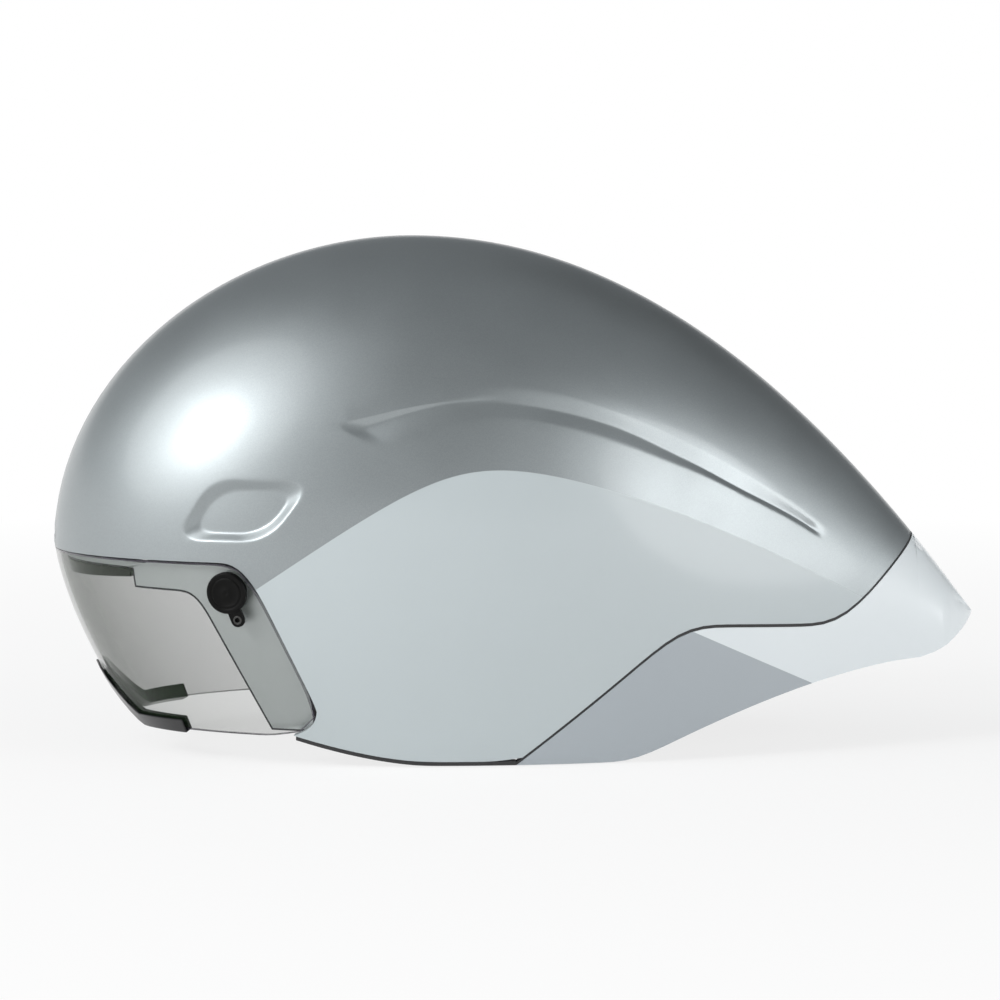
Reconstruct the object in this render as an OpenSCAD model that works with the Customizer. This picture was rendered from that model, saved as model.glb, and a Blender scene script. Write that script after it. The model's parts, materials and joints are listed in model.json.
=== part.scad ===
// Teardrop time-trial cycling helmet: two-part shell, magnetic wrap-round lens, foam liner and fit system.
// x runs to the tail, y to the rider's right and z up; the origin is on the ground under the middle.
// Most pieces are patches of one body surface, y = half_y(x, z), given a wall along its normals.

/* [Body outline] */
// Front pole of the shell
nose_x = -188; // [-194:1:-184]
// Rear tip of the tail
tail_x = 188; // [184:1:196]
// Height of the crown
crown_z = 205; // [198:1:212]
// Place of the crown along the helmet
crown_x = -43; // [-50:1:-36]
// Height of the front pole
brow_z = 82; // [81:0.5:84]
// Height of the tail's tip
tip_z = 50; // [46:1:54]
// Half of the greatest width
half_w = 102; // [98:1:108]
// Place of the greatest width
wide_x = -30; // [-40:1:-20]
// Half width that the taper runs out to at the tail's tip
tip_half_w = 14; // [12:1:20]
// Radius of the tail's rounded end, seen from above
tip_r = 16; // [12:1:22]
// How far the widest line has dropped at the tail
wide_drop = 42; // [36:1:46]
// Roundness of the crown's front in side view
crown_n = 1.94; // [1.8:0.02:2.2]
// Power of the crown line's drop to the tail
drop_n = 2.05; // [1.9:0.05:2.3]
// Roundness of the front, seen from above
plan_n = 2.15; // [2:0.05:2.4]
// Roundness of a cross-section above its widest line
section_n = 2.25; // [2:0.05:2.5]
// How far the sides draw in at the bottom, as a share
tuck = 0.16; // [0.1:0.01:0.2]
// Rake of the face opening below the brow
front_rake = 0.051; // [0.04:0.001:0.06]

/* [Shell] */
// Wall of the shells and trims
shell_wall = 2.2; // [1.6:0.1:2.8]
// Height of the shell's edge over the lens
brow_edge_z = 80; // [78:0.5:80.5]
// Where the shell's edge behind the lens meets the brow line
cheek_x = -113.6; // [-118:0.2:-110]
// Fall of the shell's edge behind the lens, for each mm to the rear
cheek_slope = 2.02; // [1.8:0.02:2.3]
// Size of the rounded corner between the brow and the cheek
cheek_round = 15.6; // [10:0.2:20]
// Front of the shell below the lens's lower corner
chin_x = -86.4; // [-88:0.2:-82]
// Where the lower edge runs out at the lens's lower corner
edge_x = -101; // [-104:1:-98]
// Height of the lower edge there
edge_rise = 12; // [10:0.5:13]
// Front end of the lower trim
trim_x = -93.2; // [-94:0.2:-88]
// Height of the black trim along the lower edge
trim_h = 1.6; // [1.2:0.1:2.4]
// Front end of the flat that the helmet stands on
stand_front_x = -42; // [-50:1:-36]
// Rear end of the flat that the helmet stands on
stand_rear_x = 40; // [36:1:46]

/* [Tail] */
// Place where the seam leaves the lower edge
seam_x = -8; // [-14:1:-4]
// Climb of the seam's front part
seam_slope = 0.79; // [0.7:0.01:0.9]
// Height of the seam's level part
seam_level = 53.5; // [50:0.5:57]
// Where the seam turns up again behind the level part
seam_turn_x = 127; // [120:1:132]
// Climb of the seam's rear part
seam_rear_slope = 0.957; // [0.9:0.01:1.05]
// Width of the black gasket in the seam
seam_gap = 1.0; // [0.8:0.1:1.6]
// Height of the lower edge ahead of the rounded end
tail_low_z = 34; // [30:0.5:38]
// Start of the rounded end
tail_end_x = 162; // [158:1:168]

/* [Relief] */
// Depth of the blind pocket over the lens corner
pocket_depth = 2.6; // [1.5:0.1:3]
// Width of the pocket's sloping wall
pocket_wall = 3.5; // [2.5:0.1:5]
// Depth of the long crease
crease_depth = 1.4; // [0.8:0.1:1.6]

/* [Lens] */
// Thickness of the lens
lens_t = 1.6; // [1.4:0.1:2]
// Gap between the lens and the shell's edge
lens_gap = 0.5; // [0.4:0.1:0.9]
// Height of the lens's lower edge
lens_low_z = 11; // [9:0.5:13]
// Rise of the nose notch over the lower edge
notch_h = 18; // [14:0.5:22]
// Half width of the nose notch
notch_half_w = 37; // [32:1:42]
// Length of the lower rear corner of the lens
corner_dx = 22; // [14:1:24]
// Height of the lower rear corner of the lens
corner_dz = 14; // [10:1:16]
// Height of the nose trim's lips
nose_lip = 5; // [4:0.2:6]
// Thickness of the nose trim's lips
nose_wall = 1.1; // [0.8:0.1:1.5]
// Share of the lens's half length that the nose trim covers
nose_share = 0.62; // [0.5:0.01:0.7]

/* [Lens seat] */
// Depth of the seat below the body surface
seat_depth = 4; // [3.9:0.1:4.6]
// Thickness of the seat
seat_t = 2; // [1.6:0.1:2.6]
// Lower end of the eyeport's side edge
port_x = -104.2; // [-106:0.2:-100]
// Fall of the eyeport's side edge for each mm to the rear
port_slope = 1.84; // [1.7:0.02:2]
// Height of the eyeport's upper edge at the sides
port_z = 67.5; // [65:0.5:69]
// Size of the rounded corner between the two
port_round = 10; // [6:1:14]
// Height of the eyeport's upper edge at the front
port_front_z = 75.2; // [72:0.2:75.6]
// Place of the step between the two
port_step_x = -158.9; // [-161:0.1:-150]
// Height of the black gasket under the brow, at the front
gasket_h = 5.2; // [3:0.1:6]
// Height of the gasket at its ends
gasket_end_h = 3; // [2:0.1:4]

/* [Knob] */
// Place of the knob along the helmet
knob_x = -119.6; // [-121:0.2:-117]
// Height of the knob
knob_z = 68.5; // [66:0.5:69]
// Diameter of the knob
knob_d = 16.4; // [14:0.2:18]
// Thickness of the knob
knob_t = 2.2; // [1.8:0.1:3]
// Diameter of the knob's stem
stem_d = 4; // [3:0.1:5]
// Diameter of the magnet on the stem's foot
magnet_d = 11; // [8:0.5:12]
// Diameter of the steel keeper on the seat
keeper_d = 12.5; // [11:0.5:14]
// Reach of the ear from the knob's axis to its hole
ear_reach = 11.4; // [10.5:0.1:13]
// Diameter of the ear's hole
ear_hole_d = 2; // [1.4:0.1:2.6]
// Lean of the ear to the rear of straight down
ear_lean = 21; // [0:1:40]

/* [Liner] */
// Centre of the head cavity along the helmet
head_x = -56; // [-60:1:-52]
// Height of the cavity's centre
head_z = 78; // [74:1:82]
// Half length of the cavity
head_a = 102; // [98:1:104]
// Half width of the cavity
head_b = 82; // [78:1:84]
// Height of the cavity over its centre
head_c = 102; // [98:1:104]
// Depth that the cavity's sides run down to
head_low = 190; // [170:5:220]
// Gap between the liner and the shells
bond_gap = 0.5; // [0.3:0.05:0.6]
// Where the foam is divided into a front and a tail block
foam_split_x = 60; // [50:1:80]
// Thickness of the pads
pad_t = 5; // [3:0.5:6]

/* [Straps] */
// Width of the webbing
web_w = 15; // [12:1:18]
// Thickness of the webbing
web_t = 1.2; // [1:0.1:1.6]
// Place of the stowed strap's arch along the helmet
arch_x = -24; // [-28:1:-20]
// Height of the buckle's middle as stowed
buckle_z = 152; // [148:1:153]

/* [Fit system] */
// Place of the dial's axis above the ground
dial_z = 34; // [31:1:37]
// Diameter of the dial
dial_d = 24; // [20:1:28]
// Distance from the cavity's rear wall forward to the front face of the dial housing
case_inset = 26; // [25:0.5:28]
// Depth of the dial housing
case_l = 13; // [12:0.5:14]
// Width of the dial housing
case_w = 46; // [42:1:50]
// Height of the dial housing
case_h = 28; // [27:0.5:32]
// Wall of the dial housing
case_wall = 1.6; // [1.2:0.1:2]
// Module of the pinion and racks
gear_m = 1; // [0.9:0.05:1.1]
// Teeth of the pinion
pinion_n = 10; // [9:1:11]
// Travel of each rack
rack_travel = 8; // [5:0.5:9]
// Height adjustment of the cradle
height_travel = 10; // [6:1:12]

/* [Hidden] */

near = 0.001;
head = [head_x, 0, head_z];

silver = [0.66, 0.69, 0.71];
pale = [0.83, 0.86, 0.88];
soft_grey = [0.7, 0.73, 0.75];
rubber = [0.08, 0.08, 0.08];
smoke = [0.62, 0.65, 0.63, 0.5];
foam_grey = [0.2, 0.2, 0.21];
padding = [0.13, 0.13, 0.14];
web_black = [0.1, 0.1, 0.1];

// Numbers, vectors and smooth corners

function clamp01(t) = min(1, max(0, t));
function unit(v) = v / max(norm(v), near);
function mix(a, b, t) = a + (b - a) * t;
function bump(t, n) = pow(1 - pow(clamp01(t), n), 1 / n);
function ease(t) = let (c = clamp01(t)) c * c * (3 - 2 * c);
function flip(p) = [p.x, -p.y, p.z];
function soft_min(a, b, k) =
    let (d = (b - a) / k)
    d >= 1 ? a : d <= -1 ? b : a - k * pow(1 - d, 2) / 4;
function soft_max(a, b, k) = -soft_min(-a, -b, k);

// The body surface

function top_z(x) =
    x < crown_x
    ? brow_z + (crown_z - brow_z) * bump((crown_x - x) / (crown_x - nose_x), crown_n)
    : crown_z - (crown_z - tip_z) * pow((x - crown_x) / (tail_x - crown_x), drop_n);
function wide_z(x) = brow_z - wide_drop * pow(clamp01((x - nose_x) / (tail_x - nose_x)), 1.5);
function front_x(z) = nose_x + front_rake * pow(max(0, brow_z - z), 1.5);
function tip_round(x) =
    let (t = clamp01((x - tail_x + tip_r) / tip_r))
    sqrt(1 - t * t);
function plan_y(x, z) =
    x < wide_x
    ? half_w * bump((wide_x - x) / (wide_x - front_x(z)), plan_n)
    : let (t = clamp01((x - wide_x) / (tail_x - wide_x)))
      (tip_half_w + (half_w - tip_half_w) * pow(1 - pow(t, 1.9), 1.25)) * tip_round(x);
function half_y(x, z) =
    let (a = wide_z(x))
    z > a
    ? plan_y(x, a) * bump((z - a) / max(top_z(x) - a, near), section_n)
    : plan_y(x, z) * (1 - tuck * pow((a - z) / brow_z, 2));
function skin(x, z) = [x, -half_y(x, z), z];
function skin_normal(x, z) =
    let (h = 0.2)
    let (along = skin(x + h, z) - skin(x - h, z))
    let (up = skin(x, z + h) - skin(x, z - h))
    unit(cross(along, up));

// Edge lines of the shells, as heights over x, and of the lens and its seat, as places over z

function low_z(x) =
    x < stand_front_x ? edge_rise * pow((stand_front_x - x) / (stand_front_x - edge_x), 1.6)
    : x < stand_rear_x ? 0
    : x < tail_end_x ? tail_low_z * (1 - pow(1 - (x - stand_rear_x) / (tail_end_x - stand_rear_x), 1.7))
    : mix(tail_low_z, tip_z, pow((x - tail_end_x) / (tail_x - tail_end_x), 1.8));
function seam_z(x) =
    let (climb = seam_slope * (x - seam_x))
    let (level = seam_level - 0.055 * (x - seam_x - seam_level / seam_slope))
    let (rear = seam_level - 3.5 + seam_rear_slope * (x - seam_turn_x))
    soft_max(soft_min(climb, level, 9), rear, 11);
function cheek_line(x) =
    soft_min(brow_edge_z, brow_edge_z - cheek_slope * (x - cheek_x), cheek_round);
function shell_edge_z(x) =
    x <= chin_x ? max(cheek_line(x), brow_edge_z - cheek_slope * (chin_x - cheek_x))
    : max(low_z(x) + trim_h, seam_z(x) + seam_half);
function foam_edge_z(x) = x <= chin_x ? shell_edge_z(x) + foam_lift : low_z(x) + trim_h;

// Inverse of a line that falls at a slope and turns level at height z_level with a soft corner
function line_x(z, x_corner, z_level, slope, k) =
    let (t = (z_level - z) / k)
    let (fall = t < 1 ? z_level + k * (1 - 2 * sqrt(max(t, 0))) : z)
    x_corner + (z_level - fall) / slope;
function lens_top() = brow_edge_z - lens_gap;
function corner_shift(z, grow) =
    let (t = clamp01((lens_low_z + corner_dz - z) / (corner_dz + grow)))
    (corner_dx + grow) * (1 - sqrt(1 - t * t));
function lens_rear_x(z) =
    let (back_off = lens_gap * (norm([1, cheek_slope]) - 1) / cheek_slope)
    line_x(z, cheek_x - back_off, lens_top(), cheek_slope, cheek_round) - corner_shift(z, 0);
function port_corner_x() = port_x - (port_z - edge_rise) / port_slope;
function port_rear_x(z) = line_x(z, port_corner_x(), port_z, port_slope, port_round);

foam_lift = 1.2;

// Relief in the shell: a blind pocket with sloping walls and a long crease, steep along its upper edge

function pocket_out(x, z) =
    let (top = z - 112)
    let (bottom = 88.5 - z)
    let (rear = (x + 90 - 0.75 * (z - 108)) * 0.8)
    let (front = (0.6 * (z - 92) - (x + 138)) * 0.86)
    soft_max(soft_max(top, bottom, 7), soft_max(rear, front, 7), 9);
function pocket(x, z) = pocket_depth * ease(-pocket_out(x, z) / pocket_wall);
function pocket_clear(x, z) = pocket_depth * ease((16 - pocket_out(x, z)) / 8);
crease_front_x = -77;
crease_rear_x = 119;
crease_top = [-15, 144];
function crease_line(x) =
    let (t = x - crease_top[0])
    crease_top[1] - (t > 0 ? 0.028 * pow(t, 1.556) : 0.0019 * pow(-t, 2.1));
function crease_span(x) =
    let (t = clamp01((x - crease_front_x) / (crease_rear_x - crease_front_x)))
    9 * sqrt(4 * t * (1 - t));
function crease(x, z) =
    let (span = crease_span(x))
    let (d = (crease_line(x) - z) / max(span, near))
    span < 1 || d < 0 || d > 1.3 ? 0 : d < 0.4 ? crease_depth * d / 0.4 : crease_depth * (1.3 - d) / 0.9;

// The head cavity, a half ellipsoid with long sides below its centre

function on_head(p, depth) =
    let (v = p - head)
    let (c = v.z > 0 ? head_c : head_low)
    let (r = 1 / norm([v.x / head_a, v.y / head_b, v.z / c]))
    head + v * r - depth * unit(v);
function head_at(front, side, depth) =
    on_head(head + [-cos(front) * cos(side), sin(side), sin(front) * cos(side)], depth);

// Grids of points, in rows of equal length that run so that the outside is on the left

function rise(turn) = pow(sin(turn), 2 / section_n);
function turn_at(share) = asin(pow(clamp01(share), section_n / 2));
function row_up(x, z0, z1, n, lean) =
    let (top = max(top_z(x), z1))
    let (reach = turn_at((z1 - z0) / max(top - z0, near)))
    [for (j = [0:n]) skin(x, j == n ? z1 : z0 + (top - z0) * rise(reach * pow(j / n, lean)))];
function run_end(row, j) = j < len(row) - 1 && norm(row[j + 1] - row[j]) < near ? run_end(row, j + 1) : j;
function normal_at(g, i, j, pole) =
    let (k = run_end(g[i], j))
    let (i0 = max(i - 1, 0), i1 = min(i + 1, len(g) - 1))
    let (j0 = max(k - 1, 0), j1 = min(k + 1, len(g[i]) - 1))
    let (n = cross(g[i1][k] - g[i0][k], g[i][j1] - g[i][j0]))
    norm(n) < near * near ? pole : unit(abs(g[i][j].y) < near ? [n.x, 0, n.z] : n);
function shifted(g, pole0, pole1, depth) =
    [for (i = [0:len(g) - 1])
        [for (j = [0:len(g[i]) - 1])
            g[i][j] - depth(g[i][j]) * normal_at(g, i, j, i == 0 ? pole0 : pole1)]];
function level_rim(g, inner) =
    [for (i = [0:len(g) - 1])
        concat([[inner[i][0].x, inner[i][0].y, g[i][0].z]], [for (j = [1:len(g[i]) - 1]) inner[i][j]])];
function both_sides(g) = [for (row = g) concat(row, [for (j = [len(row) - 1:-1:0]) flip(row[j])])];
function round_front(g) =
    concat([for (i = [len(g) - 1:-1:1]) [for (p = g[i]) flip(p)]], g);
function slice(g, a, b) = [for (i = [a:b]) g[i]];

// A closed solid between two grids of one layout. Points of a row that coincide are one corner. A row
// whose two halves lie apart is left open at the column named split, and so are the first rows, as
// many as the first number in corner, over as many columns at both ends as its second number.
function merged(row, j) = j > 0 && norm(row[j] - row[j - 1]) < near ? merged(row, j - 1) : j;
module wall(outer, inner, split = -1, corner = [0, 0]) {
    rows = len(outer);
    cols = len(outer[0]);
    all = rows * cols;
    id = [for (i = [0:rows - 1]) [for (j = [0:cols - 1]) i * cols + merged(outer[i], j)]];
    cells = [for (i = [-1:rows - 1]) [for (j = [-1:cols - 1])
        i >= 0 && j >= 0 && i < rows - 1 && j < cols - 1
        && !(j == split && norm(outer[i][j] - outer[i][j + 1]) > near)
        && !(i < corner[0] && (j < corner[1] || j >= cols - 1 - corner[1]))]];
    function has(i, j) = cells[i + 1][j + 1];
    tops = [for (i = [0:rows - 2]) for (j = [0:cols - 2]) if (has(i, j))
        let (a = id[i][j], b = id[i + 1][j], c = id[i + 1][j + 1], d = id[i][j + 1])
        each [[a, c, b], [a, d, c]]];
    edges = concat(
        [for (i = [0:rows - 1]) for (j = [0:cols - 2]) if (has(i, j) != has(i - 1, j))
            has(i, j) ? [id[i][j + 1], id[i][j]] : [id[i][j], id[i][j + 1]]],
        [for (i = [0:rows - 2]) for (j = [0:cols - 1]) if (has(i, j) != has(i, j - 1))
            has(i, j) ? [id[i][j], id[i + 1][j]] : [id[i + 1][j], id[i][j]]]);
    good = [for (f = tops) if (f[0] != f[1] && f[1] != f[2] && f[2] != f[0]) f];
    rim = [for (e = edges) if (e[0] != e[1])
        each [[e[0], e[1], e[1] + all], [e[0], e[1] + all, e[0] + all]]];
    under = [for (f = good) [f[0] + all, f[2] + all, f[1] + all]];
    flat = [for (g = [outer, inner]) for (row = g) each row];
    polyhedron(points = flat, faces = concat(good, rim, under));
}

// Shells. Three rows of the outer shell run along the crease, and the rows behind the lens's lower
// corner lean forward to follow it.

function even(a, b, n) = [for (i = [0:n]) mix(a, b, i / n)];
function crown_meeting_x(lift, a = seam_turn_x, b = tail_x, n = 24) =
    let (m = (a + b) / 2)
    n == 0 ? m
    : seam_z(m) + lift < top_z(m) ? crown_meeting_x(lift, m, b, n - 1)
    : crown_meeting_x(lift, a, m, n - 1);
seam_half = seam_gap / 2 * norm([1, seam_slope]);
brow_x = front_x(brow_edge_z);
shell_end_x = crown_meeting_x(seam_half);
seam_stations = concat(
    even(-5, shell_end_x - 22, 14),
    [for (i = [7:-1:1]) shell_end_x - 22 * pow(i / 8, 2)]);
front_stations = concat(
    [for (i = [0:7]) mix(brow_x, nose_x + 48, pow(i / 8, 2))],
    even(nose_x + 48, -92, 12),
    even(chin_x, -16, 9),
    seam_stations,
    [shell_end_x]);
chin_reach = 30;
function chin_edge_x(z) =
    line_x(z, cheek_x, brow_edge_z, cheek_slope, cheek_round) - corner_shift(z, lens_gap);
function chin_lean(x, z) =
    x < chin_x || z > chin_z ? x
    : x + (chin_edge_x(z) - chin_x) * pow(max(0, 1 - (x - chin_x) / chin_reach), 2);
function chin_low_z(x, a, b, n) =
    let (m = (a + b) / 2)
    n == 0 ? m
    : m < low_z(chin_lean(x, m)) + trim_h ? chin_low_z(x, m, b, n - 1) : chin_low_z(x, a, m, n - 1);
function shell_start_z(x) =
    x >= chin_x && x < chin_x + chin_reach
        ? chin_low_z(x, 0, lens_low_z + corner_dz, 20) : shell_edge_z(x);
chin_z = brow_edge_z - cheek_slope * (chin_x - cheek_x);
chin_start_z = shell_start_z(chin_x);
chin_share = (chin_z - chin_start_z) / (top_z(chin_x) - chin_start_z);
rows_corner = 5;
rows_below = 12;
rows_above = 9;
shell_rows = rows_corner + rows_below + rows_above + 2;
function crease_share(x, z0, height) =
    let (front = ease((x + 96) / 34))
    let (rear = ease((shell_end_x - 6 - x) / 30))
    mix(0.68, clamp01((crease_line(x) - z0) / height), front * rear);
function shell_row(x) =
    let (z0 = shell_start_z(x), top = x == brow_x || x > shell_end_x - near ? z0 : top_z(x))
    let (height = max(top - z0, near))
    let (line = crease_share(x, z0, height))
    let (fold = min(max(crease_span(x), 5) / height, 0.12))
    let (start = x < chin_x ? 0 : chin_share)
    let (foot = turn_at((line - 1.3 * fold - start) / (1 - start)))
    let (rises = concat(
        [for (j = [0:rows_corner - 1]) start * pow(j / rows_corner, 1.4)],
        [for (j = [0:rows_below]) mix(start, 1, rise(foot * pow(j / rows_below, 1.3)))],
        [line - 0.4 * fold],
        [for (j = [0:rows_above]) rise(mix(turn_at(line), 90, j / rows_above))]))
    [for (r = rises) let (z = z0 + r * (top - z0)) skin(chin_lean(x, z), r == 1 ? top : z)];
chin_row = search([chin_x], front_stations)[0];
shell_grid = [for (x = front_stations) shell_row(x)];
shell_ends = [[-1, 0, 0.05], [0.77, 0, 0.64]];
module outer_shell() {
    outside = shifted(shell_grid, shell_ends[0], shell_ends[1],
        function (p) pocket(p.x, p.z) + crease(p.x, p.z));
    inside = shifted(shell_grid, shell_ends[0], shell_ends[1],
        function (p) pocket(p.x, p.z) + shell_wall);
    color(silver) wall(both_sides(outside), both_sides(inside), shell_rows, [chin_row, rows_corner]);
}

tail_tip_x = seam_x + seam_half / seam_slope;
tail_crown_x = crown_meeting_x(-seam_half);
tail_stations = concat(
    [tail_tip_x],
    seam_stations,
    [tail_crown_x],
    [for (i = [5:-1:0]) tail_x - (tail_x - tail_crown_x - 4) * pow(i / 5.5, 1.6)]);
function tail_row(x) =
    let (low = low_z(x))
    row_up(x, low, x == tail_tip_x ? low : x < tail_crown_x ? seam_z(x) - seam_half : top_z(x), 9, 1);
module tail_shell() {
    grid = [for (x = tail_stations) tail_row(x)];
    outside = both_sides(grid);
    inside = level_rim(grid,
        shifted(grid, skin_normal(tail_tip_x, 1), [0.95, 0, 0.2], function (p) shell_wall));
    color(pale) wall(outside, both_sides(inside), 9);
}

joint_gap = 0.1;
module seam_gasket() {
    function half(x) = seam_half - 0.13 - 0.25 * ease((x - 138) / 12);
    crown_x = crown_meeting_x(half(tail_x));
    end_x = crown_meeting_x(-half(tail_x));
    stations = concat([tail_tip_x], seam_stations, even(crown_x, end_x, 2));
    grid = [for (x = stations) [for (lift = [-half(x), half(x)])
        skin(x, x == end_x || lift > 0 && x > crown_x - near ? top_z(x) : max(seam_z(x) + lift, 0))]];
    inside = shifted(grid, skin_normal(tail_tip_x, 1), shell_ends[1], function (p) shell_wall);
    color(rubber) wall(both_sides(grid), both_sides(inside), 1);
}

module lower_trim() {
    stations = even(trim_x, tail_tip_x - joint_gap, 18);
    grid = [for (x = stations) [skin(x, low_z(x)), skin(x, low_z(x) + trim_h - joint_gap)]];
    inside = shifted(grid, [0, -1, 0], [0, -1, 0], function (p) shell_wall);
    color(rubber) wall(grid, level_rim(grid, inside));
}
module lower_trim_left() { lower_trim(); }
module lower_trim_right() { mirror([0, 1, 0]) lower_trim(); }

// Lens seat, in pairs of an outer and an inner edge point from the front centre to the lower rear

seat_top_z = brow_edge_z - 1.2;
function seat_line_x(z) =
    min(line_x(z, cheek_x - 0.6, seat_top_z, cheek_slope, cheek_round), chin_x - 0.6);
seat_start_x = seat_line_x(seat_top_z);
seat_low_z = lens_low_z + 0.5;
function seat_outer(t) =
    let (z = mix(seat_top_z, seat_low_z, pow(t, 1.6)))
    skin(seat_line_x(z), z);
function seat_inner(t) =
    let (z = mix(port_z, seat_low_z, pow(t, 1.6)))
    skin(port_rear_x(z), z);
port_start_x = port_rear_x(port_z);
seat_grid = concat(
    [for (i = [0:6])
        let (t = pow(i / 6, 1.7) * 0.52)
        [skin(mix(front_x(port_front_z), port_step_x - 0.6, t / 0.52), port_front_z),
            skin(mix(front_x(seat_top_z), seat_start_x, t), seat_top_z)]],
    [for (i = [0:3])
        let (t = mix(0.54, 1, i / 4))
        [skin(mix(port_step_x + 0.6, port_start_x, i / 4), port_z),
            skin(mix(front_x(seat_top_z), seat_start_x, t), seat_top_z)]],
    [for (i = [0:14]) [seat_inner(i / 14), seat_outer(i / 14)]]);
function with_middle(g) = [for (row = g)
    let (m = (row[0] + row[1]) / 2)
    [row[0], skin(m.x, m.z), row[1]]];
module under_lens(grid, depth, t) {
    full = round_front(grid);
    outside = shifted(full, [-1, 0, 0], [-1, 0, 0], function (p) depth);
    inside = shifted(full, [-1, 0, 0], [-1, 0, 0], function (p) depth + t);
    wall(outside, inside);
}
module visor_seat() {
    color(soft_grey) under_lens(with_middle(seat_grid), seat_depth, seat_t);
}
module brow_gasket() {
    top = port_front_z - 0.5;
    grid = [for (i = [0:7])
        let (t = pow(i / 7, 1.7))
        [for (z = [top - mix(gasket_h, gasket_end_h, t), top])
            skin(mix(front_x(z), port_step_x - 1.6, t), z)]];
    color(rubber) under_lens(grid, seat_depth, seat_t);
}

// Lens and the channel on its nose notch

function lens_x(t, z) =
    let (far = wide_x - front_x(z))
    let (turn = acos(pow(clamp01((wide_x - lens_rear_x(z)) / far), plan_n / 2)))
    wide_x - far * pow(cos(turn * t), 2 / plan_n);
function notch_z(t) =
    let (y = half_y(lens_x(t, lens_low_z + 6), lens_low_z + 6))
    lens_low_z + notch_h * pow(cos(90 * clamp01(y / notch_half_w)), 2.2);
function lens_point(t, up) =
    let (z = mix(notch_z(t), lens_top(), up))
    skin(lens_x(t, z), z);
nose_steps = 12;
lens_stations = concat(even(0, nose_share, nose_steps), [for (i = [1:7]) mix(nose_share, 1, i / 7)]);
lens_grid = [for (t = lens_stations) [for (j = [0:9]) lens_point(t, (1 - cos(20 * j)) / 2)]];
module visor_lens() {
    full = round_front(lens_grid);
    color(smoke) difference() {
        wall(full, shifted(full, [0, 0, 0], [0, 0, 0], function (p) lens_t));
        on_sides() at_knob() cylinder(d = stem_d + 0.1, h = 12, center = true, $fn = 48);
    }
}
module nose_trim() {
    edge = round_front([for (i = [0:nose_steps]) [lens_point(lens_stations[i], 0)]]);
    path = [for (row = edge) row[0]];
    back = lens_t + nose_wall;
    function frame_point(i, up, depth) =
        let (along = unit(path[min(i + 1, len(path) - 1)] - path[max(i - 1, 0)]))
        let (side = sign(path[i].y))
        let (n0 = skin_normal(max(path[i].x, front_x(path[i].z) + 0.3), path[i].z))
        let (out = abs(path[i].y) < near ? unit([n0.x, 0, n0.z]) : side > 0 ? flip(n0) : n0)
        path[i] + unit(cross(out, along)) * up - out * depth;
    function channel(lip, edge_in, front, rear) =
        [for (i = [0:len(path) - 1])
            [frame_point(i, lip, rear), frame_point(i, edge_in, rear),
                frame_point(i, edge_in, front), frame_point(i, lip, front)]];
    slack = 0.18;
    color(rubber) wall(
        channel(nose_lip, -nose_wall, -nose_wall, back),
        channel(nose_lip, -slack, -slack, lens_t + slack));
}

// Knobs: a cap with an ear outside the lens, a stem through it, a magnet on the foot, a keeper below

module placed(x_axis, y_axis, z_axis, at) {
    multmatrix([
        [x_axis.x, y_axis.x, z_axis.x, at.x],
        [x_axis.y, y_axis.y, z_axis.y, at.y],
        [x_axis.z, y_axis.z, z_axis.z, at.z],
        [0, 0, 0, 1]]) children();
}
module facing(out, at) {
    y_axis = unit([0, 0, 1] - out.z * out);
    placed(cross(y_axis, out), y_axis, out, at) children();
}
module on_sides() {
    children();
    mirror([0, 1, 0]) children();
}
knob_at = skin(knob_x, knob_z);
knob_out = skin_normal(knob_x, knob_z);
cap_lift = 0.35;
foot_z = -lens_t - 0.45;
magnet_t = 0.9;
keeper_z = -seat_depth + 0.05;
keeper_t = -keeper_z + foot_z - magnet_t - 0.3;
module at_knob() { facing(knob_out, knob_at) children(); }
module knob() {
    ear_w = ear_hole_d + 3.6;
    at_knob() {
        translate([0, 0, cap_lift]) rotate_extrude($fn = 72)
            polygon([[0, 0], [knob_d / 2, 0], [knob_d / 2, knob_t - 0.5], [knob_d / 2 - 0.5, knob_t],
                [knob_d / 2 - 1.6, knob_t], [knob_d / 2 - 2, knob_t - 0.3], [0, knob_t - 0.3]]);
        translate([0, 0, foot_z]) cylinder(d = stem_d, h = cap_lift - foot_z + 0.4, $fn = 48);
        rotate([0, 0, ear_lean]) translate([0, 0, cap_lift]) difference() {
            union() {
                translate([0, -ear_reach, 0]) cylinder(d = ear_w, h = 1.3, $fn = 48);
                translate([-ear_w / 2, -ear_reach, 0]) cube([ear_w, ear_reach - knob_d / 4, 1.3]);
            }
            translate([0, -ear_reach, -1]) cylinder(d = ear_hole_d, h = 4, $fn = 32);
        }
    }
}
module knob_magnet() {
    at_knob() translate([0, 0, foot_z - magnet_t]) cylinder(d = magnet_d, h = magnet_t, $fn = 64);
}
module keeper() {
    at_knob() translate([0, 0, keeper_z]) cylinder(d = keeper_d, h = keeper_t, $fn = 64);
}
module knob_left() { color(rubber) knob(); }
module knob_right() { color(rubber) mirror([0, 1, 0]) knob(); }
module knob_magnet_left() { color(soft_grey) knob_magnet(); }
module knob_magnet_right() { color(soft_grey) mirror([0, 1, 0]) knob_magnet(); }
module keeper_left() { color(silver) keeper(); }
module keeper_right() { color(silver) mirror([0, 1, 0]) keeper(); }

// Liner: foam between the shells and the head cavity, in two blocks

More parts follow.
